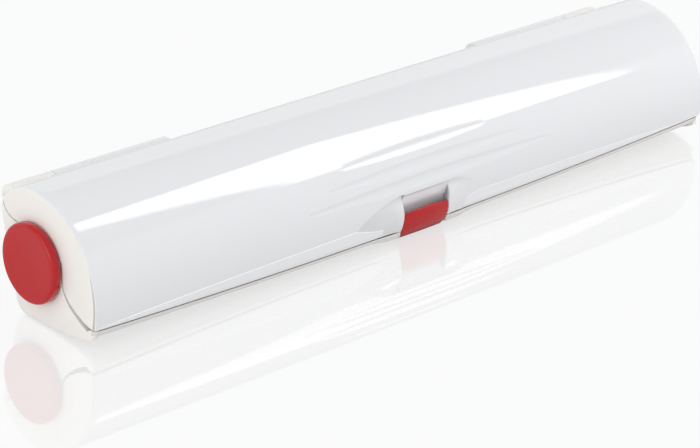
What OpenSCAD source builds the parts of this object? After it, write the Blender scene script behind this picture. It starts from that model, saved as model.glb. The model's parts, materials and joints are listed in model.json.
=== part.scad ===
// Cling film cutter: a crowned tube that opens along its length, with a red turning knob at each end
// and a red release button low in the middle of its front.
// X runs along the tube, -Y is the front, +Z is up. The origin lies on the table, below the roll axis.

/* [Body] */
// Length over the two end walls
body_l = 375; // [340:1:420]
// Height of the roll axis above the table
roll_z = 27.7; // [26:0.1:29.5]
// Thickness of the end walls
end_t = 2.6; // [2:0.1:3.6]
// Rounding of the lid's outer end edges
edge_r = 1.2; // [0.6:0.1:1.8]

/* [Lid] */
// Radius of the lid's front arc at its ends
lid_r = 41.3; // [40:0.1:43]
// Distance of the front arc's centre behind the roll axis
lid_cy = 2.5; // [1.5:0.1:3.5]
// Height of the front arc's centre
lid_cz = 17.5; // [16.5:0.1:18.5]
// Radius of the lid's back arc
lid_back_r = 26; // [25:0.1:28]
// Extra radius in the middle of the length
lid_crown = 0.35; // [0.2:0.05:0.6]
// Wall of the lid shell
lid_wall = 2.2; // [1.8:0.1:2.6]
// Height of the lid's lower edge at its two ends
tip_z = 7.8; // [7.2:0.1:8.4]
// Gap between lid and base, where the film leaves
film_gap = 0.9; // [0.7:0.1:1.2]

/* [Flutes and scoops] */
// Angles of the three flutes above the level of the front arc's centre
flute_ang = [14.9, 24.6, 36]; // [12:0.1:40]
// Half lengths of the flutes
flute_half = [78, 63, 47]; // [30:1:90]
// Half widths of the flutes
flute_w = [2.9, 2.7, 2.1]; // [1.5:0.1:3.2]
// Depths of the flutes
flute_d = [0.55, 0.5, 0.42]; // [0.3:0.01:0.7]
// Middles of the flutes along the lid
flute_x = [3, 2, -2]; // [-5:0.5:5]
// Length of the finger scoop on the button's left
scoop_left = 30; // [20:0.5:34]
// Length of the finger scoop on the button's right
scoop_right = 19; // [14:0.5:24]
// Depth of the scoops between their ends
scoop_d = 0.7; // [0.4:0.05:0.9]
// Height at which the scoops are longest
scoop_z = 12.6; // [11:0.1:14]
// Radius of the notch's side edges, seen from the end
rim_r = 40; // [38:1:60]

/* [Hinge] */
// Angle of the hinge axis on the back arc, from the vertical
hinge_ang = 51; // [49:0.5:53]
// Depth of the hinge axis below the back arc
hinge_sink = 0.9; // [0.6:0.1:1.2]
// Radius of the hinge barrels
barrel_r = 5; // [4.5:0.1:5.4]
// Radius of the bead along the top of the back wall
bead_r = 3.1; // [2.8:0.1:3.4]
// Gap between turning and fixed edges at the hinge
hinge_gap = 0.4; // [0.3:0.05:0.6]
// Diameter of the hinge pins
pin_d = 3; // [2.5:0.1:3.4]
// Length of each of the lid's hinge barrels
lid_barrel_l = 62; // [50:1:70]
// Length of each of the base's hinge barrels
base_barrel_l = 21.7; // [15:0.1:22]
// Distance of the left hinge's outer end from the end of the body
left_hinge_in = 3.5; // [3:0.5:6]
// Distance of the right hinge's outer end from the end of the body
right_hinge_in = 15.5; // [8:0.5:20]
// Angle by which the lid opens before its stops meet
open_ang = 106; // [90:1:120]
// Length of the stops, which lie inside the barrels
stop_l = 2; // [1.5:0.1:3]
// Angle that each stop takes
stop_ang = 40; // [30:1:50]

/* [Base] */
// Wall of the base tray
tray_wall = 2; // [1.8:0.1:2.2]
// Outer radius of the tray's rear lower corner
corner_r = 7; // [6:0.5:8]
// Distance of that corner's centre behind the roll axis
corner_y = 7.4; // [6.4:0.1:8.4]
// Distance of the nose's bend behind the lid's front
nose_in = 19.8; // [18:0.1:20.5]
// Rise of the nose at its two ends
nose_rise = 4.3; // [3:0.1:4.6]
// Half length of the bulge under the button
bulge_half = 46; // [35:1:60]
// Depth of the bulge under the button
bulge_d = 2.4; // [1.5:0.1:3]
// Thickness of the bulge
bulge_t = 1; // [0.8:0.1:1.2]

/* [Parting line of the end walls] */
// Radius of the lid end wall's lobe at the hinge
hinge_lobe_r = 9.25; // [8.5:0.05:10]
// Distance of that lobe's centre in front of the hinge axis
hinge_lobe_y = 8.5; // [7.5:0.1:9.5]
// Height of that lobe's centre above the hinge axis
hinge_lobe_z = 1.9; // [1:0.1:3]
// Distance of the front lobe's centre in front of the lid's arc centre
front_lobe_y = 44.5; // [43:0.5:46]
// Height of the front lobe's centre above the lid's arc centre
front_lobe_z = 15.5; // [14:0.5:17]
// Gap between the end walls of lid and base
parting_gap = 0.8; // [0.6:0.1:1.2]

/* [Button] */
// Width of the button
button_w = 27.6; // [24:0.2:30]
// Radius of the button's front from top to bottom
button_r = 12; // [11:0.5:13]
// Radius of the button's front from side to side
button_bow_r = 80; // [60:5:120]
// How far the button stands out of the lid's front
button_out = 1.2; // [0.8:0.1:1.6]
// Height of the centre of its front curve
button_cz = 11; // [10:0.1:11.5]
// Height of the button's lower edge
button_z0 = 2; // [1.9:0.05:2.3]
// Height of the button's upper edge
button_z1 = 15.8; // [15:0.1:16.4]
// Wall of the button
button_wall = 1.5; // [1.2:0.1:1.8]
// Travel of the button
travel = 2.5; // [2:0.1:2.8]
// Gap around the button
button_gap = 0.4; // [0.3:0.05:0.6]
// Width of the button's stem
stem_w = 15.6; // [13:0.2:17]
// Height of the stem
stem_h = 5; // [4.4:0.1:5.2]
// Width of the spring trough in the stem
trough_w = 4.6; // [4.2:0.1:5]
// Length of the tongues that hold the stem in its guide
tongue_l = 2.5; // [1.5:0.1:2.6]
// Depth of the tongues
tongue_d = 1; // [0.7:0.1:1.2]
// Height of the tongues
tongue_h = 1.2; // [1:0.1:1.5]
// Clearance of the stem in its guide
guide_gap = 0.3; // [0.15:0.05:0.4]

/* [Pocket and latch] */
// Height of the pocket's upper edge
pocket_z1 = 23.5; // [22.5:0.1:24.5]
// Height at which the pocket's back turns straight down
pocket_z0 = 12.2; // [11.6:0.1:12.8]
// Depth of the pocket behind the lid's front
pocket_in = 7.4; // [7:0.1:7.8]
// Height of the pocket's lower edge
pocket_foot = 8.5; // [8.4:0.1:8.9]
// Wall of the pocket
pocket_wall = 1.6; // [1.3:0.1:1.8]
// Width of the catch
catch_w = 14; // [12:0.5:16]
// Depth of the catch's ledge
catch_d = 1.45; // [1.2:0.05:1.6]
// Thickness of the catch's ledge
catch_t = 1.2; // [1:0.1:1.4]
// Width of the hook
hook_w = 8; // [6:0.5:9]
// Thickness of the hook's post
hook_t = 1.5; // [1.2:0.1:1.6]

/* [Spring] */
// Wire diameter
wire_d = 0.5; // [0.4:0.05:0.6]
// Outer diameter of the coil
coil_d = 3.7; // [3.2:0.1:3.9]
// Number of turns
coil_n = 6; // [5:1:8]

/* [Blade and bar] */
// Distance of the blade's points behind the lid's front
blade_in = 21.8; // [21.3:0.1:22.3]
// Height of the blade's points
blade_z = 7; // [6.8:0.1:7.4]
// Width of the blade
blade_w = 14; // [13:0.5:15]
// Thickness of the blade
blade_t = 0.8; // [0.6:0.1:1]
// Distance of the blade's ends from the ends of the body
blade_end = 25; // [22.5:2.5:37.5]
// Spacing of the teeth
tooth_p = 2.5; // [2.5:0.5:5]
// Depth of the teeth
tooth_h = 1.7; // [1.2:0.1:2]
// Thickness of the blade carrier
carrier_t = 2.2; // [1.8:0.1:2.6]
// Part of the blade that stands out of its carrier
blade_out = 5; // [4.6:0.1:5.5]
// Distance of the blade carrier's ends from the ends of the body
carrier_end = 17.5; // [13:0.5:20]
// Diameter of the blade rivets
rivet_d = 2.4; // [2:0.1:3]
// Number of blade rivets
rivet_n = 6; // [4:2:8]
// Distance of the outer rivets from the ends of the blade
rivet_end = 12.5; // [10:0.5:20]
// Distance of the rivets from the blade's upper edge
rivet_in = 4; // [3:0.5:5]
// Height of the cutting bar's top above the table
bar_z = 9.5; // [9.2:0.1:9.8]
// Distance of the cutting bar's ends from the ends of the body
bar_end = 17.5; // [12:0.5:20]
// Distance of the cutting bar's front ahead of the blade's points
bar_front = 10.5; // [10:0.1:11]
// Distance of the cutting bar's back behind the blade's points
bar_back = 7; // [6:0.5:8]
// Height of the cutting bar's front edge
bar_nose = 3; // [2.5:0.1:3.4]
// Chamfer of the cutting bar's top edges
bar_edge = 1; // [0.6:0.1:1.4]
// Clearance of the blade in its slot, on each side
slot_gap = 0.8; // [0.6:0.1:1]
// Width of the film strip
strip_w = 3; // [2.4:0.1:3.2]
// Thickness of the film strip
strip_t = 1.4; // [1.2:0.1:1.8]
// Depth of the groove that holds the strip
strip_in = 0.8; // [0.6:0.1:1]
// Distance of the groove from the cutting bar's front
strip_edge = 1.4; // [1.2:0.1:1.8]

/* [Knobs and core plugs] */
// Diameter of the knobs
knob_d = 35; // [32:0.5:36]
// Distance of the knobs from the end walls
knob_gap = 0.8; // [0.6:0.1:1.2]
// Thickness of the knobs
knob_t = 4.2; // [3.6:0.1:6]
// Rounding of the knob's rim
knob_edge = 1.4; // [0.8:0.1:1.8]
// Depth of the dished face
knob_dish = 0.5; // [0.2:0.1:0.8]
// Diameter of the knob's stem
knob_stem_d = 8; // [7:0.2:8.4]
// Diameter of the hub that turns in the end wall
hub_d = 10.6; // [10.2:0.1:12]
// Diameter of the core plug at its flange
plug_d = 26; // [24:0.5:27]
// Diameter of the core plug at its inner end
plug_d1 = 24.4; // [22:0.1:25]
// Length of the core plug
plug_l = 22; // [16:1:28]
// Wall of the core plug
plug_wall = 1.6; // [1.2:0.1:2]
// Diameter of the plug's flange
flange_d = 30; // [28:0.5:32]
// Thickness of the plug's flange
flange_t = 2; // [1.6:0.1:2.4]
// Height of the gripping ribs
rib_h = 0.9; // [0.5:0.1:1.2]
// Number of gripping ribs
rib_n = 6; // [4:1:8]
// Running clearance of a hub, on the radius
run_gap = 0.05; // [0.02:0.01:0.09]
// Clearance of a fixed fit, on the radius
fit_gap = 0.02; // [0.01:0.01:0.05]
// Diameter of the knob screws
knob_screw_d = 2.9; // [2.5:0.1:3.2]
// Length of the knob screws
knob_screw_l = 9; // [7:0.5:10]

/* [Feet and screws] */
// Diameter of the feet
foot_d = 9; // [8:0.5:10]
// Height of the feet below the tray
foot_h = 0.6; // [0.5:0.1:0.8]
// Depth of the recesses that hold the feet
foot_in = 1; // [0.8:0.1:1.2]
// Distance of the outer feet from the ends of the body
foot_x = 26; // [20:1:40]
// Diameter of the bar screws
bar_screw_d = 2.9; // [2.5:0.1:3.2]
// Diameter of the screw heads
screw_head_d = 5.6; // [5:0.1:6]
// Thickness of the screw heads
screw_head_t = 1; // [0.8:0.1:1.2]
// Number of bar screws
bar_screw_n = 4; // [2:2:6]
// Distance of the outer screws from the ends of the cutting bar
bar_screw_end = 20; // [14:1:30]
// Distance of the screws behind the blade's points
bar_screw_in = 3; // [2.5:0.1:3.5]
// Material of the cutting bar above the screws
bar_skin = 1.6; // [1.2:0.1:2]
// Spare depth of the screw bores
bore_spare = 0.4; // [0.2:0.1:0.6]

/* [Hidden] */
$fn = 96;

half_l = body_l / 2;
inner_half = half_l - end_t;
far = 100;

// distances ahead of the roll axis, counted back from the lid's front
front_y = lid_r - lid_cy;
nose_y = front_y - nose_in;
pocket_y = front_y - pocket_in;
blade_y = front_y - blade_in;
button_cy = front_y + button_out - button_r;

// centre of the lid's back arc, which meets the front arc at the top
back_cz = lid_cz + lid_r - lid_back_r;
// hinge axis
hinge_y = lid_cy + (lid_back_r - hinge_sink) * sin(hinge_ang);
hinge_z = back_cz + (lid_back_r - hinge_sink) * cos(hinge_ang);

// facet along the lid's lower front: a plane that touches the front arc at its two ends
tip_ang = asin((lid_cz - tip_z) / lid_r);
tip_y = lid_cy - lid_r * cos(tip_ang);
facet_half = sqrt(pow(lid_r + lid_crown, 2) - pow(lid_r, 2));
lip_drop = 0.94 * facet_half;

// tray: floor, rear corner and leaning back wall, tangent to the corner and to the bead
corner_z = foot_h + corner_r;
floor_z = foot_h + tray_wall;
lean_run = norm([hinge_y - corner_y, hinge_z - corner_z]);
lean_dir = atan2(hinge_z - corner_z, hinge_y - corner_y);
lean_ang = lean_dir - acos((corner_r - bead_r) / lean_run);
lean_n = [cos(lean_ang), sin(lean_ang)];

// nose: the tray's front edge rises towards its ends
nose_z = foot_h + nose_rise;
nose_front = tip_y - (nose_z - tip_z) * tan(tip_ang);
nose_ang = atan2(nose_rise, -nose_y - nose_front);
nose_drop = nose_rise * cos(nose_ang);

// parting line of the end walls
lobe_a = [hinge_y - hinge_lobe_y, hinge_z + hinge_lobe_z];
lobe_b = [lid_cy - front_lobe_y, lid_cz + front_lobe_z];
lobe_b_r = norm([tip_y - lobe_b[0], tip_z - lobe_b[1]]);

// direction in which the blade leaves its slot, square to its radius from the hinge
blade_ang = atan2(hinge_y + blade_y, hinge_z - blade_z);
blade_l = body_l - 2 * blade_end;
carrier_l = body_l - 2 * carrier_end;
carrier_reach = 12;
carrier_ang0 = 8;
carrier_ang1 = 30;

// cutting bar
bar_l = body_l - 2 * bar_end;
bar_y0 = -blade_y - bar_front;
bar_y1 = -blade_y + bar_back;

// button and pocket
pocket_front = lid_cy - sqrt(pow(lid_r + lid_crown, 2) - pow(pocket_z1 - lid_cz, 2));
pocket_lean = (-pocket_y - pocket_front) / (pocket_z1 - pocket_z0);
notch_half = button_w / 2 + button_gap;
stem_z = floor_z + button_gap;
stem_top = stem_z + stem_h;
catch_back = -pocket_y + pocket_wall;
hook_y = catch_back + catch_d + button_gap;
guide_back = hook_y + hook_t + travel + button_gap;
tongue_y = -pocket_y + guide_gap + tongue_l;
tongue_z = stem_z + 2;
hook_z = pocket_foot + button_gap + catch_t + button_gap;

// finger scoops
scoop_top = pocket_z1 - 0.1;
scoop_foot = button_z0 - 1;

// knobs
knob_x = half_l + knob_gap;
flange_x = inner_half - knob_gap - flange_t;
plate_x = flange_x - plug_wall;

// outline in the YZ plane, extruded along X
module along_x(l) {
    rotate([90, 0, 90]) linear_extrude(l, center = true) children();
}

// outline in the YZ plane, from x0 to x1
module span_x(x0, x1) {
    translate([(x0 + x1) / 2, 0, 0]) along_x(abs(x1 - x0)) children();
}

// solid of revolution about an axis along X
module turned(y, z) {
    translate([0, y, z]) rotate([0, 90, 0]) rotate_extrude() children();
}

module cyl_x(y, z, r, x0, x1) {
    translate([min(x0, x1), y, z]) rotate([0, 90, 0]) cylinder(r = r, h = abs(x1 - x0));
}

// ellipse arc that hangs from (-l/2, 0) to (l/2, 0), with everything below it
module below_arc(drop, shift) {
    steps = 28;
    arc = [for (i = [0:steps]) [-half_l * cos(180 * i / steps), shift - drop * sin(180 * i / steps)]];
    polygon(concat([[-half_l - 9, shift]], arc, [[half_l + 9, shift], [half_l + 9, -far], [-half_l - 9, -far]]));
}

// the same arc, with everything above it
module above_arc(drop, shift) {
    steps = 28;
    arc = [for (i = [0:steps]) [-half_l * cos(180 * i / steps), shift - drop * sin(180 * i / steps)]];
    polygon(concat([[-half_l - 9, shift]], arc, [[half_l + 9, shift], [half_l + 9, far], [-half_l - 9, far]]));
}

// frame on the facet plane: X along the lid, Y up the facet, Z outwards
module facet_frame() {
    translate([0, tip_y, tip_z]) rotate([90 + tip_ang, 0, 0]) children();
}

// frame on the underside of the nose: X along the tray, Y up, Z forwards along the slope
module nose_frame() {
    translate([0, nose_front, nose_z]) rotate([90 - nose_ang, 0, 0]) children();
}

// everything in front of the facet plane
module beyond_facet(shift = 0) {
    along_x(body_l + 20) translate([lid_cy, lid_cz]) rotate(180 + tip_ang)
        translate([lid_r + shift, -far]) square([far, 2 * far]);
}

// crowned barrel about one of the lid's arc centres
module barrel(z, r) {
    steps = 16;
    rim = [for (i = [0:steps])
        let (x = -half_l + body_l * i / steps) [r + lid_crown * (1 - pow(x / half_l, 2)), x]];
    turned(lid_cy, z) polygon(concat([[0, -half_l]], rim, [[0, half_l]]));
}

module front_half() {
    translate([-far * 5, lid_cy - 2 * far, -far]) cube([far * 10, 2 * far, 3 * far]);
}

module back_half() {
    translate([-far * 5, lid_cy, lid_cz]) cube([far * 10, far, far]);
}

// outside of the lid, over the full length
module lid_outside() {
    intersection() {
        barrel(lid_cz, lid_r);
        front_half();
    }
    intersection() {
        barrel(back_cz, lid_back_r);
        back_half();
    }
}

// outline of the lid's inside, or of any arc pair set inwards by d
module lid_inset_2d(d) {
    intersection() {
        translate([lid_cy, lid_cz]) circle(r = lid_r - d);
        translate([lid_cy - 2 * far, -far]) square([2 * far, 3 * far]);
    }
    intersection() {
        translate([lid_cy, back_cz]) circle(r = lid_back_r - d);
        translate([lid_cy, lid_cz]) square([far, far]);
    }
}

// the part of the YZ plane that the lid shell takes: in front of the hinge and above its own lip
module lid_sector_2d() {
    polygon([
        [lid_cy, back_cz],
        [lid_cy + far * sin(hinge_ang), back_cz + far * cos(hinge_ang)],
        [-far, 2 * far],
        [-2 * far, -far],
        [lid_cy - lid_r / 2, -far]
    ]);
}

// hinge stations along X
left_out = -half_l + left_hinge_in;
left_mid = left_out + base_barrel_l;
left_in = left_mid + hinge_gap + lid_barrel_l;
right_out = half_l - right_hinge_in;
right_mid = right_out - base_barrel_l;
right_in = right_mid - hinge_gap - lid_barrel_l;

// half the thickness of the stops, and the angle at which they start
stop_half = 0.7;
stop_ang0 = 200;

module lid_barrels(r, grow = 0) {
    cyl_x(hinge_y, hinge_z, r, left_mid + hinge_gap - grow, left_in + grow);
    cyl_x(hinge_y, hinge_z, r, right_in - grow, right_mid - hinge_gap + grow);
}

module base_barrels(r, grow = 0) {
    cyl_x(hinge_y, hinge_z, r, -inner_half - grow, left_mid + grow);
    cyl_x(hinge_y, hinge_z, r, right_mid - grow, right_out + grow);
}

// stops of the base inside the lid's barrels, or the room that they sweep
module hinge_stops(ang, gap) {
    mid_r = (pin_d / 2 + barrel_r) / 2;
    for (side = [-1, 1]) {
        x = side < 0 ? left_mid : right_mid;
        span_x(x + side, x - side * (hinge_gap + stop_l + gap)) intersection() {
            difference() {
                translate([hinge_y, hinge_z]) circle(r = mid_r + stop_half + gap);
                translate([hinge_y, hinge_z]) circle(r = mid_r - stop_half - gap);
            }
            translate([hinge_y, hinge_z]) rotate(stop_ang0 - gap * 5) polygon([
                for (i = [0:8]) i == 0 ? [0, 0] : 3 * barrel_r * [cos((i - 1) * ang / 7), sin((i - 1) * ang / 7)]
            ]);
        }
    }
}

module hinge_bores(gap) {
    cyl_x(hinge_y, hinge_z, pin_d / 2 + gap, -body_l, left_in + 1);
    cyl_x(hinge_y, hinge_z, pin_d / 2 + gap, right_in - 1, right_out + 1);
}

// Base

// back wall, rear corner and floor between x0 and x1
module tray_body(x0, x1) {
    span_x(x0, x1) polygon([
        [corner_y, corner_z] + corner_r * lean_n,
        [hinge_y, hinge_z] + bead_r * lean_n,
        [hinge_y, hinge_z] + (bead_r - tray_wall) * lean_n,
        [corner_y, corner_z] + (corner_r - tray_wall) * lean_n
    ]);
    cyl_x(hinge_y, hinge_z, bead_r, x0, x1);
    span_x(x0, x1) difference() {
        translate([corner_y, corner_z]) circle(r = corner_r);
        translate([corner_y, corner_z]) circle(r = corner_r - tray_wall);
        polygon([
            [corner_y, corner_z],
            [corner_y, corner_z] + far * [cos(lean_ang + 3), sin(lean_ang + 3)],
            [corner_y, far],
            [-far, far],
            [-far, -far],
            [corner_y, -far]
        ]);
    }
    span_x(x0, x1) translate([tip_y - 4, foot_h]) square([corner_y + 0.1 - tip_y + 4, tray_wall]);
}

// plate of the nose, which rises at its ends
module nose_plate() {
    intersection() {
        nose_frame() translate([0, 0, -far / 2]) linear_extrude(far)
            below_arc(nose_drop, tray_wall * cos(nose_ang));
        span_x(-inner_half, inner_half)
            translate([tip_y - 4, foot_h]) square([-nose_y - tip_y + 12, nose_rise + 2 * tray_wall]);
    }
}

// bulge of the tray's front edge under the button
module button_bulge() {
    bow_r = (pow(bulge_half, 2) + pow(bulge_d, 2)) / (2 * bulge_d);
    front = tip_y + (tip_z - foot_h) * tan(tip_ang);
    intersection() {
        translate([0, front - bulge_d + bow_r, foot_h]) cylinder(r = bow_r, h = bulge_t, $fn = 360);
        translate([-bulge_half, front - bulge_d, foot_h]) cube([2 * bulge_half, bulge_d + 3, bulge_t]);
    }
}

foot_ys = [-nose_y + foot_d / 2 + 2, corner_y - foot_d / 2];

module foot_places() {
    for (x = [-half_l + foot_x, 0, half_l - foot_x])
        for (y = foot_ys)
            translate([x, y, 0]) children();
}

module bar_screw_places() {
    x0 = -bar_l / 2 + bar_screw_end;
    for (i = [0:bar_screw_n - 1])
        translate([x0 - i * 2 * x0 / (bar_screw_n - 1), -blade_y + bar_screw_in, 0]) children();
}

module base_tray() {
    color([0.93, 0.92, 0.90]) {
        difference() {
            union() {
                difference() {
                    union() {
                        tray_body(-inner_half, inner_half);
                        nose_plate();
                    }
                    nose_frame() translate([0, 0, -far / 2]) linear_extrude(far) below_arc(nose_drop, 0);
                    beyond_facet();
                    facet_frame() translate([0, 0, -lid_wall - 1.3]) linear_extrude(far)
                        above_arc(lip_drop, -film_gap);
                    lid_barrels(barrel_r + hinge_gap, hinge_gap);
                    // room under the button
                    translate([-notch_half, -far, button_z0 - button_gap])
                        cube([2 * notch_half, far - pocket_y + button_gap, tray_wall]);
                }
                base_barrels(barrel_r);
                hinge_stops(stop_ang, 0);
                button_bulge();
            }
            hinge_bores(fit_gap);
            foot_places() translate([0, 0, -1])
                cylinder(d = foot_d + 2 * fit_gap, h = foot_h + foot_in + 1);
            bar_screw_places() {
                cylinder(d = bar_screw_d + 0.5, h = 8);
                translate([0, 0, -1]) cylinder(d = screw_head_d + 0.4, h = foot_h + screw_head_t + 1);
            }
        }
    }
}

// region of the lid's end walls, grown by g
module lid_side_2d(g) {
    translate(lobe_a) circle(r = hinge_lobe_r + g);
    translate(lobe_b) circle(r = lobe_b_r + g);
    translate([0, -g]) polygon([
        lobe_a - [0, hinge_lobe_r],
        lobe_b + [lobe_b_r, 0],
        [-far, lobe_b[1]],
        [-far, far],
        [far, far],
        [far, lobe_a[1] + g],
        [lobe_a[0], lobe_a[1] + g]
    ]);
}

module base_end(ear_r) {
    difference() {
        union() {
            span_x(inner_half, half_l) polygon([
                [corner_y, foot_h],
                [-nose_y, foot_h],
                [nose_front, nose_z],
                [tip_y, tip_z],
                [tip_y, lobe_b[1]],
                lobe_a,
                [hinge_y, hinge_z],
                [hinge_y, hinge_z] + bead_r * lean_n,
                [corner_y, corner_z] + corner_r * lean_n,
                [corner_y, corner_z]
            ]);
            cyl_x(corner_y, corner_z, corner_r, inner_half, half_l);
        }
        along_x(2 * body_l) lid_side_2d(parting_gap);
        cyl_x(0, roll_z, hub_d / 2 + run_gap, inner_half - 1, half_l + 1);
        translate([inner_half - 1, -hub_d / 2 - run_gap, roll_z]) cube([end_t + 2, hub_d + 2 * run_gap, far]);
    }
    cyl_x(hinge_y, hinge_z, ear_r, inner_half, half_l);
}

module base_end_left() {
    color([0.93, 0.92, 0.90]) difference() {
        mirror([1, 0, 0]) base_end(barrel_r);
        hinge_bores(fit_gap);
    }
}

module base_end_right() {
    color([0.93, 0.92, 0.90]) base_end(bead_r);
}

// blade frame: origin at the blade's points, Y towards the front and up along the blade, Z to its upper side
module blade_frame() {
    translate([0, -blade_y, blade_z]) rotate([180 - blade_ang, 0, 0]) mirror([0, 0, 1]) children();
}

module cutting_bar() {
    foot = -nose_y + fit_gap * 10;
    color([0.86, 0.86, 0.85]) difference() {
        span_x(-bar_l / 2, bar_l / 2) polygon([
            [foot, floor_z],
            [bar_y1, floor_z],
            [bar_y1, bar_z - 2 * bar_edge],
            [bar_y1 - 2 * bar_edge, bar_z],
            [bar_y0 + bar_edge, bar_z],
            [bar_y0, bar_z - bar_edge],
            [bar_y0, bar_z - bar_nose],
            [foot, bar_z - 1.5 * bar_nose]
        ]);
        // slot for the blade
        blade_frame() translate([-bar_l, -1.5, -blade_t / 2 - slot_gap])
            cube([2 * bar_l, far, blade_t + 2 * slot_gap]);
        // groove for the film strip
        span_x(-bar_l, bar_l) translate([bar_y0 + strip_edge, bar_z - strip_in]) square([strip_w, far]);
        // room for the latch
        translate([-notch_half, bar_y0 - 1, 0]) cube([2 * notch_half, guide_back + 1.2 - bar_y0 + 1, far]);
        // holes for the screws
        bar_screw_places() cylinder(d = bar_screw_d, h = bar_z - bar_skin);
    }
}

module film_strip() {
    color([0.55, 0.55, 0.56])
        for (side = [-1, 1])
            span_x(side * (notch_half + button_gap), side * bar_l / 2)
                translate([bar_y0 + strip_edge + fit_gap, bar_z - strip_in])
                    square([strip_w - 2 * fit_gap, strip_t]);
}

module bar_screws() {
    color([0.75, 0.76, 0.78])
        bar_screw_places() {
            translate([0, 0, foot_h]) cylinder(d = screw_head_d, h = screw_head_t);
            translate([0, 0, foot_h])
                cylinder(d = bar_screw_d - 2 * fit_gap, h = bar_z - bar_skin - bore_spare - foot_h);
        }
}

module feet() {
    color([0.35, 0.35, 0.36]) foot_places() cylinder(d = foot_d, h = foot_h + foot_in);
}

// Button and latch

module button_guide() {
    rail_x = stem_w / 2 + guide_gap;
    rail_t = 1.8;
    front = -pocket_y;
    color([0.9, 0.9, 0.88]) {
        for (side = [-1, 1]) {
            translate([side > 0 ? rail_x : -rail_x - rail_t, front, floor_z])
                cube([rail_t, guide_back - front + 1, stem_h]);
            translate([side > 0 ? rail_x - tongue_d : -rail_x, tongue_y - tongue_l, tongue_z])
                cube([tongue_d, tongue_l, tongue_h]);
        }
        translate([-rail_x - rail_t, guide_back, floor_z]) cube([2 * (rail_x + rail_t), 1, stem_h]);
    }
}

// front of the button, which a line parallel to the pocket's back limits behind
module button_cap_2d(r) {
    intersection() {
        translate([-button_cy, button_cz]) circle(r = r);
        translate([-far, button_z0]) square([far, button_z1 - button_z0]);
        polygon([
            [-far, -far],
            [-pocket_y - travel - button_gap, -far],
            [-pocket_y - travel - button_gap, pocket_z0],
            [-pocket_y - travel - button_gap - pocket_lean * far, pocket_z0 + far],
            [-far, pocket_z0 + far]
        ]);
    }
}

module release_button() {
    front = -button_cy - button_r;
    side = 1.5;
    color([0.72, 0.13, 0.15]) {
        intersection() {
            union() {
                difference() {
                    span_x(-button_w / 2, button_w / 2) button_cap_2d(button_r);
                    span_x(-button_w / 2 + side, button_w / 2 - side) intersection() {
                        translate([-button_cy, button_cz]) circle(r = button_r - button_wall);
                        translate([-far, button_z0 + button_wall])
                            square([far, button_z1 - button_z0 - 2 * button_wall]);
                    }
                }
                // stem with the trough for the spring and a groove for the tongue on each side
                difference() {
                    translate([-stem_w / 2, front + 2.4, stem_z])
                        cube([stem_w, hook_y + hook_t - front - 2.4, stem_h]);
                    translate([-trough_w / 2, front + 6, stem_z - 1]) cube([trough_w, far, stem_h]);
                    for (side = [-1, 1])
                        translate([side > 0 ? stem_w / 2 - tongue_d : -stem_w / 2 - 1,
                            tongue_y - tongue_l - travel - guide_gap, tongue_z - guide_gap])
                            cube([tongue_d + 1, tongue_l + travel + 2 * guide_gap, tongue_h + 2 * guide_gap]);
                }
                // hook
                translate([-hook_w / 2, hook_y, stem_top - 1]) cube([hook_w, hook_t, hook_z + hook_t - stem_top + 1]);
                translate([-hook_w / 2, hook_y - catch_d, hook_z]) cube([hook_w, catch_d + hook_t, hook_t]);
            }
            translate([0, front + button_bow_r, 0]) cylinder(r = button_bow_r, h = far, $fn = 240);
        }
    }
}

// helix of round wire along Y, from y0 to y1
module helix_y(x, z, y0, y1, r, wire, turns) {
    per_turn = 14;
    sides = 6;
    rings = turns * per_turn;
    run = y1 - y0;
    points = [
        for (i = [0:rings]) for (j = [0:sides - 1])
            let (a = 360 * i / per_turn, b = 360 * j / sides, rr = r + wire / 2 * cos(b))
            [x + rr * cos(a), y0 + run * i / rings + wire / 2 * sin(b), z + rr * sin(a)]
    ];
    walls = [
        for (i = [0:rings - 1]) for (j = [0:sides - 1])
            let (k = (j + 1) % sides, a = i * sides + j, b = i * sides + k, c = a + sides, d = b + sides)
            each [[a, c, b], [b, c, d]]
    ];
    first = [for (j = [0:sides - 1]) j];
    last = [for (j = [0:sides - 1]) rings * sides + sides - 1 - j];
    polyhedron(points = points, faces = concat(walls, [first, last]), convexity = 4);
}

module button_spring() {
    front = -button_cy - button_r + 6;
    color([0.75, 0.76, 0.78])
        helix_y(0, floor_z + coil_d / 2 + 0.5, front + wire_d / 2 + 0.1, guide_back - wire_d / 2 - 0.1,
            (coil_d - wire_d) / 2, wire_d, coil_n);
}

// Lid

// back wall of the pocket above the button, and the catch's seat behind it
module pocket_back_2d() {
    back = -pocket_y + pocket_wall;
    lift = pocket_wall * norm([pocket_lean, 1]);
    intersection() {
        translate([lid_cy, lid_cz]) circle(r = lid_r - lid_wall / 3);
        polygon([
            [pocket_front - pocket_lean, pocket_z1 + 1],
            [-pocket_y, pocket_z0],
            [-pocket_y, pocket_foot],
            [back, pocket_foot],
            [back, pocket_z0],
            [pocket_front - pocket_lean + lift, pocket_z1 + 1]
        ]);
    }
}

// side wall of the pocket, from the shell inwards
module cheek_2d() {
    intersection() {
        translate([lid_cy, lid_cz]) circle(r = lid_r - lid_wall / 2);
        translate([tip_y, tip_z]) rotate(tip_ang)
            translate([0, -lip_drop + 0.1]) square([far, 2 * far]);
        polygon([
            [-far, pocket_z1 + 1],
            [pocket_front - pocket_lean + pocket_wall, pocket_z1 + 1],
            [-pocket_y + pocket_wall, pocket_z0],
            [-pocket_y + pocket_wall, -far],
            [-far, -far]
        ]);
    }
}

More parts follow.
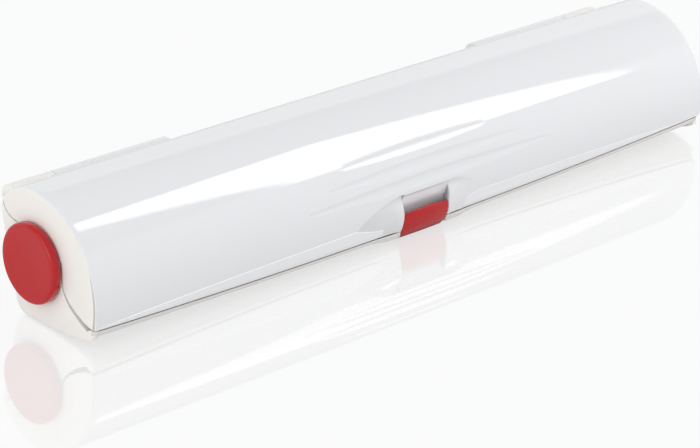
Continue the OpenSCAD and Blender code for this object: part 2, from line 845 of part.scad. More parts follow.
// the three flutes: each is cut by a thick ring, so that it runs out to a point at both ends
module flutes() {
    for (i = [0:len(flute_ang) - 1]) {
        tube_r = (pow(flute_w[i], 2) + pow(flute_d[i], 2)) / (2 * flute_d[i]);
        path_r = (pow(flute_half[i], 2) + pow(flute_d[i], 2)) / (2 * flute_d[i]) - tube_r;
        turn = 2 * asin(1.2 * flute_half[i] / path_r);
        translate([flute_x[i], lid_cy, lid_cz]) rotate([-flute_ang[i], 0, 0])
            translate([0, flute_d[i] - lid_r - lid_crown - path_r - tube_r, 0])
                rotate([0, 0, 90 - turn / 2]) rotate_extrude(angle = turn, $fn = 30 * 360 / turn)
                    translate([path_r, 0]) circle(r = tube_r, $fn = 180);
    }
}

// front of the lid, and of the notch's side edges, at height z
function lid_front(x, z) =
    lid_cy - sqrt(pow(lid_r + lid_crown * (1 - pow(x / half_l, 2)), 2) - pow(z - lid_cz, 2));

function rim_front(z) =
    lid_front(notch_half, scoop_z) + rim_r - sqrt(pow(rim_r, 2) - pow(z - scoop_z, 2));

// length at height z of a scoop that is l long
function scoop_reach(l, z) =
    button_gap + (l - button_gap) * sqrt(max(0, 1 - pow(max(0, z - scoop_z) / (scoop_top - scoop_z), 1.75)));

// share of the scoop's depth at height z, which runs out towards the lid's lower edge
function scoop_share(z) = let (u = min(1, z / scoop_z)) u * u * (3 - 2 * u);

// surface of a scoop at share t of its length, from its outer end to the notch
function scoop_front(x, z, t) =
    let (share = scoop_share(z), blend = pow(max(0, min(1, t)), 2))
    lid_front(x, z) + blend * (rim_front(z) - lid_front(x, z))
        + 4 * scoop_d * (share * t * (1 - t) - 0.2 * (1 - share));

// finger scoop on the button's right: level sections between the lid's front arc and the notch's edge
module scoop(l) {
    low = 5;
    high = 8;
    cols = 12;
    zs = concat(
        [for (i = [0:low - 1]) scoop_foot + (scoop_z - scoop_foot) * i / low],
        [for (i = [0:high]) scoop_z + (scoop_top - scoop_z) * sin(90 * i / high)]
    );
    ts = [for (j = [0:cols]) -0.12 + 1.12 * j / cols];
    ring = cols + 3;
    points = [
        for (z = zs) let (reach = scoop_reach(l, z)) each concat(
            [[notch_half + reach * (1 - ts[0]), -far, z]],
            [for (t = ts) let (x = notch_half + reach * (1 - t) - (t == 1 ? 0.2 : 0)) [x, scoop_front(x, z, t), z]],
            [[notch_half - 0.2, -far, z]]
        )
    ];
    walls = [
        for (i = [0:len(zs) - 2]) for (j = [0:ring - 1])
            let (k = (j + 1) % ring, a = i * ring + j, b = i * ring + k, c = a + ring, d = b + ring)
            each [[a, c, b], [b, c, d]]
    ];
    first = [for (j = [0:ring - 1]) j];
    last = [for (j = [0:ring - 1]) len(zs) * ring - 1 - j];
    polyhedron(points = points, faces = concat(walls, [first, last]), convexity = 4);
}

module lid_shell() {
    color([0.90, 0.91, 0.93]) difference() {
        union() {
            difference() {
                intersection() {
                    lid_outside();
                    span_x(-inner_half, inner_half) lid_sector_2d();
                }
                along_x(body_l + 20) lid_inset_2d(lid_wall);
                cyl_x(hinge_y, hinge_z, bead_r + hinge_gap, -body_l, body_l);
                beyond_facet();
                facet_frame() translate([0, 0, -far / 2]) linear_extrude(far) below_arc(lip_drop, 0);
                // notch for the button
                translate([-notch_half, -far, -far])
                    cube([2 * notch_half, far - pocket_y, far + pocket_z1]);
            }
            lid_barrels(barrel_r);
            span_x(-notch_half - pocket_wall, notch_half + pocket_wall) pocket_back_2d();
            for (side = [-1, 1])
                span_x(side * notch_half, side * (notch_half + pocket_wall)) cheek_2d();
        }
        flutes();
        scoop(scoop_right);
        mirror([1, 0, 0]) scoop(scoop_left);
        base_barrels(barrel_r + hinge_gap, hinge_gap);
        hinge_stops(stop_ang + open_ang + 2, hinge_gap / 2);
        hinge_bores(run_gap);
    }
}

// lid end wall: a rounded cap with a spigot inside the shell
module lid_cap(ear_r) {
    sunk = 0.1;
    module rim(r) {
        turned_r = r - sunk;
        intersection() {
            polygon([[0, inner_half], [turned_r, inner_half], [turned_r, half_l], [0, half_l]]);
            union() {
                square([turned_r - edge_r, half_l]);
                square([turned_r, half_l - edge_r]);
                translate([turned_r - edge_r, half_l - edge_r]) circle(r = edge_r);
            }
        }
    }
    spigot_l = 4;
    difference() {
        union() {
            intersection() {
                union() {
                    intersection() {
                        turned(lid_cy, lid_cz) rim(lid_r);
                        front_half();
                    }
                    intersection() {
                        turned(lid_cy, back_cz) rim(lid_back_r);
                        back_half();
                    }
                }
                span_x(inner_half, half_l) lid_side_2d(0);
            }
            span_x(inner_half - spigot_l, inner_half) difference() {
                intersection() {
                    lid_inset_2d(lid_wall + run_gap);
                    lid_sector_2d();
                    translate([-far, tip_z + 8]) square([2 * far, far]);
                }
                lid_inset_2d(lid_wall + run_gap + 1.8);
            }
        }
        cyl_x(hinge_y, hinge_z, ear_r, -body_l, body_l);
    }
}

module lid_end_left() {
    color([0.94, 0.93, 0.91]) mirror([1, 0, 0]) lid_cap(barrel_r + hinge_gap);
}

module lid_end_right() {
    color([0.94, 0.93, 0.91]) lid_cap(bead_r + hinge_gap);
}

module rivet_places() {
    x0 = -blade_l / 2 + rivet_end;
    for (i = [0:rivet_n - 1])
        blade_frame() translate([x0 - i * 2 * x0 / (rivet_n - 1), blade_w - rivet_in, 0]) children();
}

module blade_carrier() {
    seat_r = lid_r - lid_wall - run_gap;
    flange_t = 1.8;
    color([0.88, 0.88, 0.87]) difference() {
        union() {
            // plate along the blade
            intersection() {
                blade_frame() translate([-carrier_l / 2, blade_out, blade_t / 2])
                    cube([carrier_l, blade_w - blade_out + carrier_reach + 6, carrier_t]);
                cyl_x(lid_cy, lid_cz, seat_r - flange_t / 2, -body_l, body_l);
            }
            // flange along the inside of the shell
            span_x(-carrier_l / 2, carrier_l / 2) intersection() {
                difference() {
                    translate([lid_cy, lid_cz]) circle(r = seat_r);
                    translate([lid_cy, lid_cz]) circle(r = seat_r - flange_t);
                }
                polygon([
                    [lid_cy, lid_cz],
                    [lid_cy - far, lid_cz + far * tan(carrier_ang0)],
                    [lid_cy - far, lid_cz + far * tan(carrier_ang1)]
                ]);
            }
        }
        rivet_places() translate([0, 0, -far / 2]) cylinder(d = rivet_d + 2 * fit_gap, h = far);
    }
}

module blade() {
    teeth = floor(blade_l / tooth_p);
    l = teeth * tooth_p;
    edge = [for (i = [0:2 * teeth]) [-l / 2 + i * tooth_p / 2, i % 2 == 0 ? tooth_h : 0]];
    color([0.78, 0.80, 0.82]) difference() {
        blade_frame() translate([0, 0, -blade_t / 2]) linear_extrude(blade_t)
            polygon(concat(edge, [[l / 2, blade_w], [-l / 2, blade_w]]));
        rivet_places() translate([0, 0, -far / 2]) cylinder(d = rivet_d + 2 * fit_gap, h = far);
    }
}

module blade_rivets() {
    head_t = 0.7;
    color([0.88, 0.88, 0.87]) rivet_places() {
        translate([0, 0, -blade_t / 2 - head_t]) cylinder(d = rivet_d + 1.8, h = head_t);
        translate([0, 0, -blade_t / 2 - head_t]) cylinder(d = rivet_d, h = head_t + blade_t + carrier_t);
    }
}

module lid_catch() {
    leg = (catch_w - hook_w) / 2 - 0.8;
    color([0.80, 0.81, 0.82]) {
        translate([-catch_w / 2, catch_back, pocket_foot + button_gap]) cube([catch_w, catch_d, catch_t]);
        for (side = [-1, 1])
            translate([side > 0 ? catch_w / 2 - leg : -catch_w / 2, catch_back, pocket_foot + button_gap])
                cube([leg, 0.8, pocket_z0 - pocket_foot - button_gap]);
    }
}

module hinge_pin_left() {
    color([0.72, 0.73, 0.75]) cyl_x(hinge_y, hinge_z, pin_d / 2, -half_l + 1, left_in - 1);
}

module hinge_pin_right() {
    color([0.72, 0.73, 0.75]) cyl_x(hinge_y, hinge_z, pin_d / 2, right_in + 1, right_out - 0.5);
}

// Knobs and core plugs

module knob_shape() {
    r = knob_d / 2;
    out = knob_x + knob_t;
    dish_r = r - 2 * knob_edge;
    ball_r = (pow(dish_r, 2) + pow(knob_dish, 2)) / (2 * knob_dish);
    difference() {
        union() {
            turned(0, roll_z) difference() {
                union() {
                    translate([0, knob_x]) square([r - knob_edge, knob_t]);
                    translate([0, knob_x]) square([r, knob_t - knob_edge]);
                    translate([r - knob_edge, out - knob_edge]) circle(r = knob_edge);
                }
                translate([0, out - knob_dish + ball_r]) circle(r = ball_r, $fn = 360);
                translate([-far, 0]) square([far, body_l]);
            }
            // hub that turns in the end wall, and stem that sits in the core plug
            cyl_x(0, roll_z, hub_d / 2, flange_x + flange_t, knob_x + 1);
            cyl_x(0, roll_z, knob_stem_d / 2, flange_x + bore_spare / 2, knob_x + 1);
        }
        cyl_x(0, roll_z, knob_screw_d / 2, 0, plate_x + knob_screw_l + bore_spare);
    }
}

module knob_left() {
    color([0.75, 0.14, 0.16]) mirror([1, 0, 0]) knob_shape();
}

module knob_right() {
    color([0.75, 0.14, 0.16]) knob_shape();
}

module plug_shape() {
    inner_x = flange_x - plug_l;
    bore_r = knob_stem_d / 2 + fit_gap;
    rib_w = 1.4;
    turned(0, roll_z) polygon([
        [plug_d1 / 2 - plug_wall, inner_x],
        [plug_d1 / 2 - 0.6, inner_x],
        [plug_d1 / 2, inner_x + 1.2],
        [plug_d / 2, flange_x],
        [flange_d / 2, flange_x],
        [flange_d / 2, flange_x + flange_t],
        [bore_r, flange_x + flange_t],
        [bore_r, flange_x],
        [knob_screw_d / 2 + 0.2, flange_x],
        [knob_screw_d / 2 + 0.2, plate_x],
        [plug_d / 2 - plug_wall, plate_x]
    ]);
    for (i = [0:rib_n - 1])
        translate([0, 0, roll_z]) rotate([360 * i / rib_n, 0, 0])
            translate([inner_x + 2, -rib_w / 2, plug_d1 / 2 - plug_wall / 2])
                cube([plug_l - 2 + flange_t / 2, rib_w, (plug_d - plug_d1) / 2 + plug_wall / 2 + rib_h]);
}

module core_plug_left() {
    color([0.90, 0.89, 0.87]) mirror([1, 0, 0]) plug_shape();
}

module core_plug_right() {
    color([0.90, 0.89, 0.87]) plug_shape();
}

module screw_shape() {
    head_r = knob_screw_d / 2 + 1.4;
    turned(0, roll_z) polygon([
        [0, plate_x - 1.8],
        [head_r - 0.5, plate_x - 1.8],
        [head_r, plate_x - 1.2],
        [head_r, plate_x],
        [knob_screw_d / 2 - fit_gap, plate_x],
        [knob_screw_d / 2 - fit_gap, plate_x + knob_screw_l - 1],
        [0, plate_x + knob_screw_l]
    ]);
}

module knob_screw_left() {
    color([0.75, 0.76, 0.78]) mirror([1, 0, 0]) screw_shape();
}

module knob_screw_right() {
    color([0.75, 0.76, 0.78]) screw_shape();
}

base_tray();
base_end_left();
base_end_right();
cutting_bar();
film_strip();
bar_screws();
feet();
button_guide();
release_button();
button_spring();
lid_shell();
lid_end_left();
lid_end_right();
blade_carrier();
blade();
blade_rivets();
lid_catch();
hinge_pin_left();
hinge_pin_right();
knob_left();
core_plug_left();
knob_screw_left();
knob_right();
core_plug_right();
knob_screw_right();
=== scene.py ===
import json
import math

import bmesh
import bpy
import numpy as np
from mathutils import Matrix, Vector

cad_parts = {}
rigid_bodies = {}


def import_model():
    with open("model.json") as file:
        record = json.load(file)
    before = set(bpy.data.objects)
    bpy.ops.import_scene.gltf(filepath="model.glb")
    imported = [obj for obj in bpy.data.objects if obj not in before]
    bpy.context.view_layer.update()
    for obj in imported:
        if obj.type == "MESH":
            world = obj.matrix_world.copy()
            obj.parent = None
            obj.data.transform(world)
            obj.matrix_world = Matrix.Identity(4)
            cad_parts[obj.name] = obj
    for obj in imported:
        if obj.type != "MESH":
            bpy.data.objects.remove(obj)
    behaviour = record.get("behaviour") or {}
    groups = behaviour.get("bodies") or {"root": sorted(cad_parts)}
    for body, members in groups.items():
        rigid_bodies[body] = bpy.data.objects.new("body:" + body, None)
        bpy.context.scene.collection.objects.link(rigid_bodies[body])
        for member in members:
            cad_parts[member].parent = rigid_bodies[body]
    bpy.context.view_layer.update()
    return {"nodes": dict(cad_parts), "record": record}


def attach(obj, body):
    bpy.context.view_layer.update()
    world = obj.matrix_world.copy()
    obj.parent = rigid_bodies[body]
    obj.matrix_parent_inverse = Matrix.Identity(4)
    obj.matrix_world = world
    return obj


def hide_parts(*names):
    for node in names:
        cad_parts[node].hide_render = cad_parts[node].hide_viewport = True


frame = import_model()
NODES = frame["nodes"]
MM = 0.001

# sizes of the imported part, in millimetres; points across the tube are (y, z)
# outer and inner face of the end walls
HALF_L, INNER = 187.5, 184.9
# the lid's front arc, its back arc and the extra radius in the middle of the length
LID_R, LID_CY, LID_CZ, BACK_R, CROWN = 41.3, 2.5, 17.5, 26.0, 0.35
BACK_CZ = LID_CZ + LID_R - BACK_R
# hinge axis, and height of the roll's axis
HINGE = (22.006364, 48.595942)
ROLL_Z = 27.7
# the facet's plane touches the front arc at this height; its normal and its upward direction
TIP_Z = 7.8
TIP_A = math.asin((LID_CZ - TIP_Z) / LID_R)
TIP_Y = LID_CY - LID_R * math.cos(TIP_A)
FACET_N = (-math.cos(TIP_A), -math.sin(TIP_A))
FACET_T = (-math.sin(TIP_A), math.cos(TIP_A))
# the facet's depth inside the arc, half the parting gap, and the gap's height along the facet
# (square, slope, middle)
FACET_IN, HALF_GAP = 0.11, 0.47
GAP_CURVE = (4.93, 0.914, -2.035)
# half width of the button's notch in the lid, and the top of the pocket in it
NOTCH, POCKET_TOP = 14.2, 23.5
# floor of the tray, its underside, and where its front begins to rise
TRAY_FLOOR, FOOT_H, NOSE_Y = 2.6, 0.6, 19.0


def mesh_piece(name, verts, faces, body):
    """A smooth piece from vertices in millimetres, on a body of the frame."""
    me = bpy.data.meshes.new(name)
    me.from_pydata([tuple(c * MM for c in v) for v in verts], [], faces)
    me.validate()
    me.update()
    ob = bpy.data.objects.new(name, me)
    bpy.context.scene.collection.objects.link(ob)
    me.polygons.foreach_set("use_smooth", [True] * len(me.polygons))
    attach(ob, body)
    return ob


def weld(ob, dist=0.002):
    """Joins vertices that lie closer than dist millimetres."""
    bm = bmesh.new()
    bm.from_mesh(ob.data)
    bmesh.ops.remove_doubles(bm, verts=bm.verts, dist=dist * MM)
    bmesh.ops.dissolve_degenerate(bm, edges=bm.edges, dist=1e-8)
    bm.to_mesh(ob.data)
    bm.free()


def orient(ob):
    """Turns all faces outwards."""
    bm = bmesh.new()
    bm.from_mesh(ob.data)
    bmesh.ops.recalc_face_normals(bm, faces=bm.faces)
    bm.to_mesh(ob.data)
    bm.free()


def sharpen(ob, degrees):
    """Marks edges over the angle as sharp, so that shading breaks there and stays smooth elsewhere."""
    bm = bmesh.new()
    bm.from_mesh(ob.data)
    limit = math.radians(degrees)
    for e in bm.edges:
        if len(e.link_faces) == 2 and e.calc_face_angle(0) > limit:
            e.smooth = False
    bm.to_mesh(ob.data)
    bm.free()


def set_painted_light(ob, tone):
    """Stores each vertex's painted light and shade, which scales the colour of the materials that carry it.
    """
    layer = ob.data.attributes.new("tone", "FLOAT", "POINT")
    layer.data.foreach_set("value", tone)


class Builder:
    """Collects vertices and faces of a piece made of several grids."""

    def __init__(self):
        self.v = []
        self.f = []
        # painted light and shade of each vertex; 1.0 where nothing is painted
        self.tone = []

    def grid(self, rows, flip=False, close_u=False, close_v=False, painted_lights=None):
        """rows: list of equally long lists of points; the last argument gives each point's painted light
        and shade.
        """
        nu, nv = len(rows), len(rows[0])
        base = len(self.v)
        for i, r in enumerate(rows):
            self.v.extend(r)
            self.tone.extend(painted_lights[i] if painted_lights else [1.0] * nv)
        iu = nu if close_u else nu - 1
        iv = nv if close_v else nv - 1
        for i in range(iu):
            a, b = base + i * nv, base + ((i + 1) % nu) * nv
            for j in range(iv):
                k = (j + 1) % nv
                q = (a + j, a + k, b + k, b + j)
                self.f.append(q[::-1] if flip else q)

    def ngon(self, pts, flip=False):
        """One face over all the points."""
        base = len(self.v)
        self.v.extend(pts)
        self.tone.extend([1.0] * len(pts))
        ids = tuple(range(base, base + len(pts)))
        self.f.append(ids[::-1] if flip else ids)


def arc(cy, cz, r, a0, a1, n):
    """Points on a circle in the YZ plane; angles in degrees from +Y towards +Z."""
    return [(cy + r * math.cos(math.radians(a0 + (a1 - a0) * i / n)),
             cz + r * math.sin(math.radians(a0 + (a1 - a0) * i / n))) for i in range(n + 1)]


def crown(x):
    """Extra radius of the shell at x."""
    return CROWN * (1 - (x / HALF_L) ** 2)


def gap_line(x):
    """Height of the parting gap along the facet at x."""
    u = x / HALF_L
    return GAP_CURVE[0] * u * u + GAP_CURVE[1] * u + GAP_CURVE[2]


def on_facet(s, out=0.0):
    """(y, z) of the point at height s along the facet, and out in front of it."""
    d = out - FACET_IN
    return TIP_Y + FACET_T[0] * s + FACET_N[0] * d, TIP_Z + FACET_T[1] * s + FACET_N[1] * d


def edge_fade(a):
    """0 on the upper part of the shell's end edge, 1 on its lower part; a in degrees."""
    return smooth_step((40 - a) / 32)


def smooth_step(t):
    t = min(1.0, max(0.0, t))
    return t * t * (3 - 2 * t)


# ---- lid shell

# grooves: centre in x, half length, angle of the middle line in degrees, half width, depth
GROOVES = [(-2.0, 47.0, 36.0, 2.1, 0.42), (2.0, 63.0, 24.6, 2.7, 0.5), (3.0, 78.0, 14.9, 2.9, 0.55)]
# share by which a groove is deeper towards its upper edge, and the least half width that is cut
GROOVE_SKEW, GROOVE_MIN = 0.35, 0.02
# top of the finger scoops; each is widest at SCOOP_LOW, where it runs SCOOP_REACH from the notch
SCOOP_TOP = 23.9
SCOOP_LOW = {-1: 12.6, 1: 13.0}
SCOOP_REACH = {-1: 28.5, 1: 18.3}
SCOOP_DIP = {-1: 0.5, 1: 0.34}
# no scoop reaches this far from the middle
SCOOP_END = 46
# painted light on the facet, a painted highlight on the fine line along its upper edge and painted shade in
# the scoop, each against the shell's own colour
FACET_PAINTED_LIGHT, CREASE_PAINTED_HIGHLIGHT, SCOOP_PAINTED_SHADE = 1.1, 0.5, 0.13
# where the rounding of the skin's ends begins
END_X = 187.1
# beside the notch the facet's plane moves out by RIM_OUT, from RIM_FROM over RIM_RUN
RIM_OUT, RIM_FROM, RIM_RUN = 1.7, 26, 6


def groove_half(g, x):
    """Half width of the groove g at x."""
    t = (x - g[0]) / g[1]
    return g[3] * max(0.0, 1 - t * t)


def groove_depth(x, a):
    """Depth of the grooves at x and angle a (degrees above the arc centre's level)."""
    d = 0.0
    for g in GROOVES:
        w = groove_half(g, x)
        if w <= GROOVE_MIN:
            continue
        s = (a - g[2]) * math.pi / 180 * LID_R
        if abs(s) < w:
            q = s / w
            # deeper towards the upper edge, which falls off steeply; the lower side runs out gently
            form = (1 - q * q) * (1 + GROOVE_SKEW * q)
            d = max(d, g[4] * (w / g[3]) * form)
    return d


def scoop_edge(z, side):
    """x of the outer boundary of the scoop beside the notch, at height z."""
    low, reach = SCOOP_LOW[side], SCOOP_REACH[side]
    t = min(1.0, max(0.0, (z - low) / (SCOOP_TOP - low)))
    if side < 0:
        return -NOTCH - 0.3 - reach * (1 - t ** 1.6) ** 0.7
    if z < low:
        t = min(1.0, (low - z) / 16.0)
    return NOTCH + 0.6 + reach * math.sqrt(1 - t * t)


# how far the scoop's rim at the notch lies in (positive) or stands proud, by height: heights, then depths
EDGE_LEFT = ((0, 5.3, 8.3, 11.6, 14.7, 17.4, 19.4, 21.0, 22.2, 23.0, 23.9),
             (0, -0.37, -0.78, -0.9, -0.7, 0.25, 1.3, 1.9, 1.5, 0.9, 0.2))
EDGE_RIGHT = ((0, 4.3, 9.6, 13.9, 16.8, 19.5, 21.0, 22.2, 23.0, 23.9),
              (0, -0.37, -0.56, -0.39, -0.27, 0.57, 1.5, 1.4, 0.9, 0.2))


def scoop_share(x, z):
    """How far x lies into the scoop: 0 at its boundary, 1 at the notch."""
    if z > SCOOP_TOP or abs(x) > SCOOP_END:
        return 0.0
    side = -1 if x < 0 else 1
    b = scoop_edge(z, side)
    return min(1.0, max(0.0, (x - b) / (side * NOTCH - b)))


def recess(x, z):
    """Depth of the finger scoop at x and z; its rim beside the notch stands proud lower down."""
    t = scoop_share(x, z)
    if t <= 0:
        return 0.0
    edge = float(np.interp(z, *(EDGE_LEFT if x < 0 else EDGE_RIGHT)))
    dip = SCOOP_DIP[-1 if x < 0 else 1] * (1 + 0.09 * max(0.0, z - 12))
    power = 2 + 4 * smooth_step((20 - z) / 6)
    return dip * (1 - (1 - t) ** 2.5) + (edge - dip) * t ** power


def facet_radius(x, a):
    """Distance of the facet's plane from the arc's centre in the direction a (radians)."""
    if a > 0.5:
        return 2 * LID_R
    return (LID_R - FACET_IN + RIM_OUT * smooth_step((RIM_FROM - abs(x)) / RIM_RUN)) / math.cos(a + TIP_A)


def arc_radius(x, a):
    """Distance of the shell's surface from the arc's centre, but for the facet."""
    r = LID_R + crown(x)
    z = LID_CZ + r * math.sin(a)
    return r - groove_depth(x, math.degrees(a)) - (recess(x, z) if z < SCOOP_TOP else 0.0)


def facet_angle(s):
    """Angle (radians) of the point at height s along the facet."""
    return -TIP_A + math.atan(s / (LID_R - FACET_IN))


def crease_angle(x):
    """Angle at which the arc leaves the facet's plane: a search in steps, then by halves."""
    lo, hi = facet_angle(gap_line(x) + HALF_GAP), facet_angle(8.0)
    least = lo + 0.002
    count = 60
    steps = [lo + (hi - lo) * i / count for i in range(count + 1)]
    beyond = [a for a in steps if arc_radius(x, a) > facet_radius(x, a)]
    if not beyond:
        return least
    a0, a1 = beyond[-1], min(hi, beyond[-1] + (hi - lo) / count)
    for _ in range(20):
        m = (a0 + a1) / 2
        if arc_radius(x, m) > facet_radius(x, m):
            a0 = m
        else:
            a1 = m
    return max(a0, least)


# rows on the facet; above them come the three of the crease
FACET_ROWS = 14


def shell_angles(x):
    """Angles (radians) of the shell's rows at x, close together where its form changes."""
    a_lo, a_c = facet_angle(gap_line(x) + HALF_GAP), crease_angle(x)
    bead = min(0.007, (a_c - a_lo) / 3)
    last = FACET_ROWS - 1
    low = [a_lo + (a_c - bead - a_lo) * i / last for i in range(FACET_ROWS)]
    low += [a_c - bead * 0.45, a_c, a_c + 0.0035, a_c + 0.008]
    keys, counts = [math.degrees(low[-1]), 8.3], [24]
    for g in reversed(GROOVES):
        h = math.degrees(max(groove_half(g, x), 0.35) / LID_R)
        keys += [g[2] - h, g[2] + h]
        counts += [5, 12]
    counts[1] = 4
    keys += [48.0, 90.0]
    counts += [5, 16]
    angles = list(low)
    for k, count in enumerate(counts):
        span = keys[k + 1] - keys[k]
        angles += [math.radians(keys[k] + span * i / count) for i in range(1, count + 1)]
    return angles


def shell_rows(x):
    """The lid's outer surface at x, from its lower lip to its rear edge: (y, z, ny, nz, painted light and
    shade, angle).
    """
    rows = []
    # the facet's painted lighter colour and the crease's painted highlight fade out beside the notch, the
    # highlight also at the ends
    beside = smooth_step((abs(x) - 20) / 8)
    painted_highlight = CREASE_PAINTED_HIGHLIGHT * smooth_step((HALF_L - abs(x)) / 20) * (0.45 + 0.55 * smooth_step((-20 - x) / 30))
    painted_highlight *= beside
    for i, a in enumerate(shell_angles(x)):
        r = min(arc_radius(x, a), facet_radius(x, a))
        ca, sa = math.cos(a), math.sin(a)
        z = LID_CZ + r * sa
        if i < FACET_ROWS:
            # painted light: the facet is lighter, fading to none on its lowest rows by the gap
            tone = FACET_PAINTED_LIGHT if i > 3 else FACET_PAINTED_LIGHT - 0.1 * (4 - i) / 4
            tone = tone * beside + 1 - beside
        elif i < FACET_ROWS + 3:
            # the crease's rows: the facet's painted light, and a painted highlight strongest on the middle
            # row
            tone = 1 + (FACET_PAINTED_LIGHT - 1) * beside + painted_highlight * (1.0 if i == FACET_ROWS + 1 else 0.3)
        else:
            t = scoop_share(x, z)
            # painted shade in the left scoop, strongest at its outer boundary and low down
            painted_shade = SCOOP_PAINTED_SHADE * (1 - t) ** 0.6 * smooth_step((24 - z) / 9)
            tone = 1.0 - (painted_shade if t > 0 and x < 0 else 0.0)
        n = FACET_N if i <= FACET_ROWS else (-ca, sa)
        rows.append((LID_CY - r * ca, z, n[0], n[1], tone, math.degrees(a)))
    # the back arc ends where it comes within 3.5 mm of the hinge axis, which lies at 51 degrees
    rb = BACK_R + crown(x)
    rh = BACK_R - 0.9
    end = 51.0 - math.degrees(math.acos((rb * rb + rh * rh - 3.5 ** 2) / (2 * rb * rh)))
    for i in range(1, 15):
        b = math.radians(end * i / 14)
        sb, cb = math.sin(b), math.cos(b)
        rows.append((LID_CY + rb * sb, BACK_CZ + rb * cb, sb, cb, 1.0, 90.0))
    return rows


# radius of the notch's side edges, and where the skin's columns begin to follow the flutes
NOTCH_ROUND, FLUTES_END = 0.5, 84


def spaced(marks, counts):
    """Values from the first mark to the last, with counts[i] of them from mark i to the next."""
    out = [marks[0]]
    for a, b, n in zip(marks, marks[1:], counts):
        out += np.linspace(a, b, n)[1:].tolist()
    return [float(v) for v in out]


def shell_stations():
    edge = NOTCH + NOTCH_ROUND
    marks = (-END_X, -FLUTES_END, -SCOOP_END, -edge, edge, SCOOP_END, FLUTES_END, END_X)
    return spaced(marks, (50, 40, 64, 44, 64, 40, 50))


def pocket_y(z):
    """Back of the pocket above the button: y at the height z."""
    heights = (10.6, 11.0, 15.5, 16.8, 21.7, 23.0, 23.6)
    return float(np.interp(z, heights, (-31.4, -34.6, -35.1, -35.9, -37.4, -38.1, -38.6)))


# depth of the groove between the skin and the end wall
GROOVE_DEEP = 0.9


def end_ring(rows, side):
    """The skin's rounded end edge; lower down a fine groove parts it from the end wall."""
    out = []
    for y, z, ny, nz, tone, a in rows:
        k = edge_fade(a)
        foot = HALF_L - GROOVE_DEEP * k
        steps = ((0, END_X), (0.03, 187.22), (0.1, 187.36), (0.2, 187.45), (0.33, HALF_L),
                 (0.34 + 0.22 * k, HALF_L), (0.4 + 0.22 * k, foot), (0.42 + 1.6 * k, foot),
                 (2.3, foot - 0.1))
        out.append([(side * x, y - ny * inset, z - nz * inset) for inset, x in steps])
    return out


def notch_edge(b, column, top, side):
    """Rounded side edge of the notch, beside the skin's column, running into the pocket's cheek."""
    rows, painted_shading = [], []
    for x, y, z in column[:top + 1]:
        line = []
        for k in range(6):
            t = math.radians(90 * k / 5)
            line.append((x - side * NOTCH_ROUND * math.sin(t), y + NOTCH_ROUND * (1 - math.cos(t)), z))
        start = y + NOTCH_ROUND
        back = max(pocket_y(max(z, 2.9)) + 0.1, y + 0.6)
        low = 0.9 if z < 4 else 0
        line += [(side * NOTCH, start + (back - start) * q, z + low) for q in (0.12, 0.5, 1.0)]
        rows.append(line)
        # painted shade on the notch's side walls, much darker on the right; on the left, a little painted
        # light on the edge's round
        painted_shading.append([1.0] * 6 + [0.8, 0.42, 0.5] if side > 0 else [1.06] * 6 + [1.0, 0.95, 0.9])
    b.grid(rows, flip=side > 0, painted_lights=painted_shading)
    b.ngon(rows[-1][:6] + [(side * NOTCH, *column[top][1:])])


def pocket(b, columns, top):
    """The pocket's rounded upper edge, its sloping back and the straight part behind the button."""
    # painted light on the pocket's rounded edge and upper back, painted shade lower down behind the button
    painted_shading = [1.0, 1.02, 1.04, 1.05, 1.06, 1.06, 1.06, 1.06, 1.05, 1.0, 0.95, 0.9, 0.9, 0.9]
    rows = []
    for column in columns:
        x, y, z = column[top]
        x = max(-NOTCH, min(NOTCH, x))
        line = [(x, y, z), (x, y + 0.02, POCKET_TOP + 0.1), (x, y + 0.12, POCKET_TOP - 0.12)]
        for h in (23.0, 22.4, 21.7, 20, 18, 16.8, 15.4, 14, 11.0, 10.6, 8.5):
            line.append((x, pocket_y(h), h))
        rows.append(line)
    b.grid(rows, flip=True, painted_lights=[painted_shading] * len(rows))


def lower_lip(b, columns, painted_shading):
    """The round of the shell's lower edge and the edge's underside."""
    round_r = 0.7
    rows = []
    for column in columns:
        x, y, z = column[0]
        line = [column[0]]
        for k in range(1, 7):
            t = math.radians(90 * k / 6)
            dn, dt = round_r * (1 - math.cos(t)), round_r * math.sin(t)
            line.append((x, y - FACET_N[0] * dn - FACET_T[0] * dt * 0.7,
                         z - FACET_N[1] * dn - FACET_T[1] * dt * 0.7))
        line.append((x, y - FACET_N[0] * 2.4, z - FACET_N[1] * 2.4 - 0.3))
        rows.append(line)
    b.grid(rows, flip=True, painted_lights=[[painted_lights[0]] * 8 for painted_lights in painted_shading])


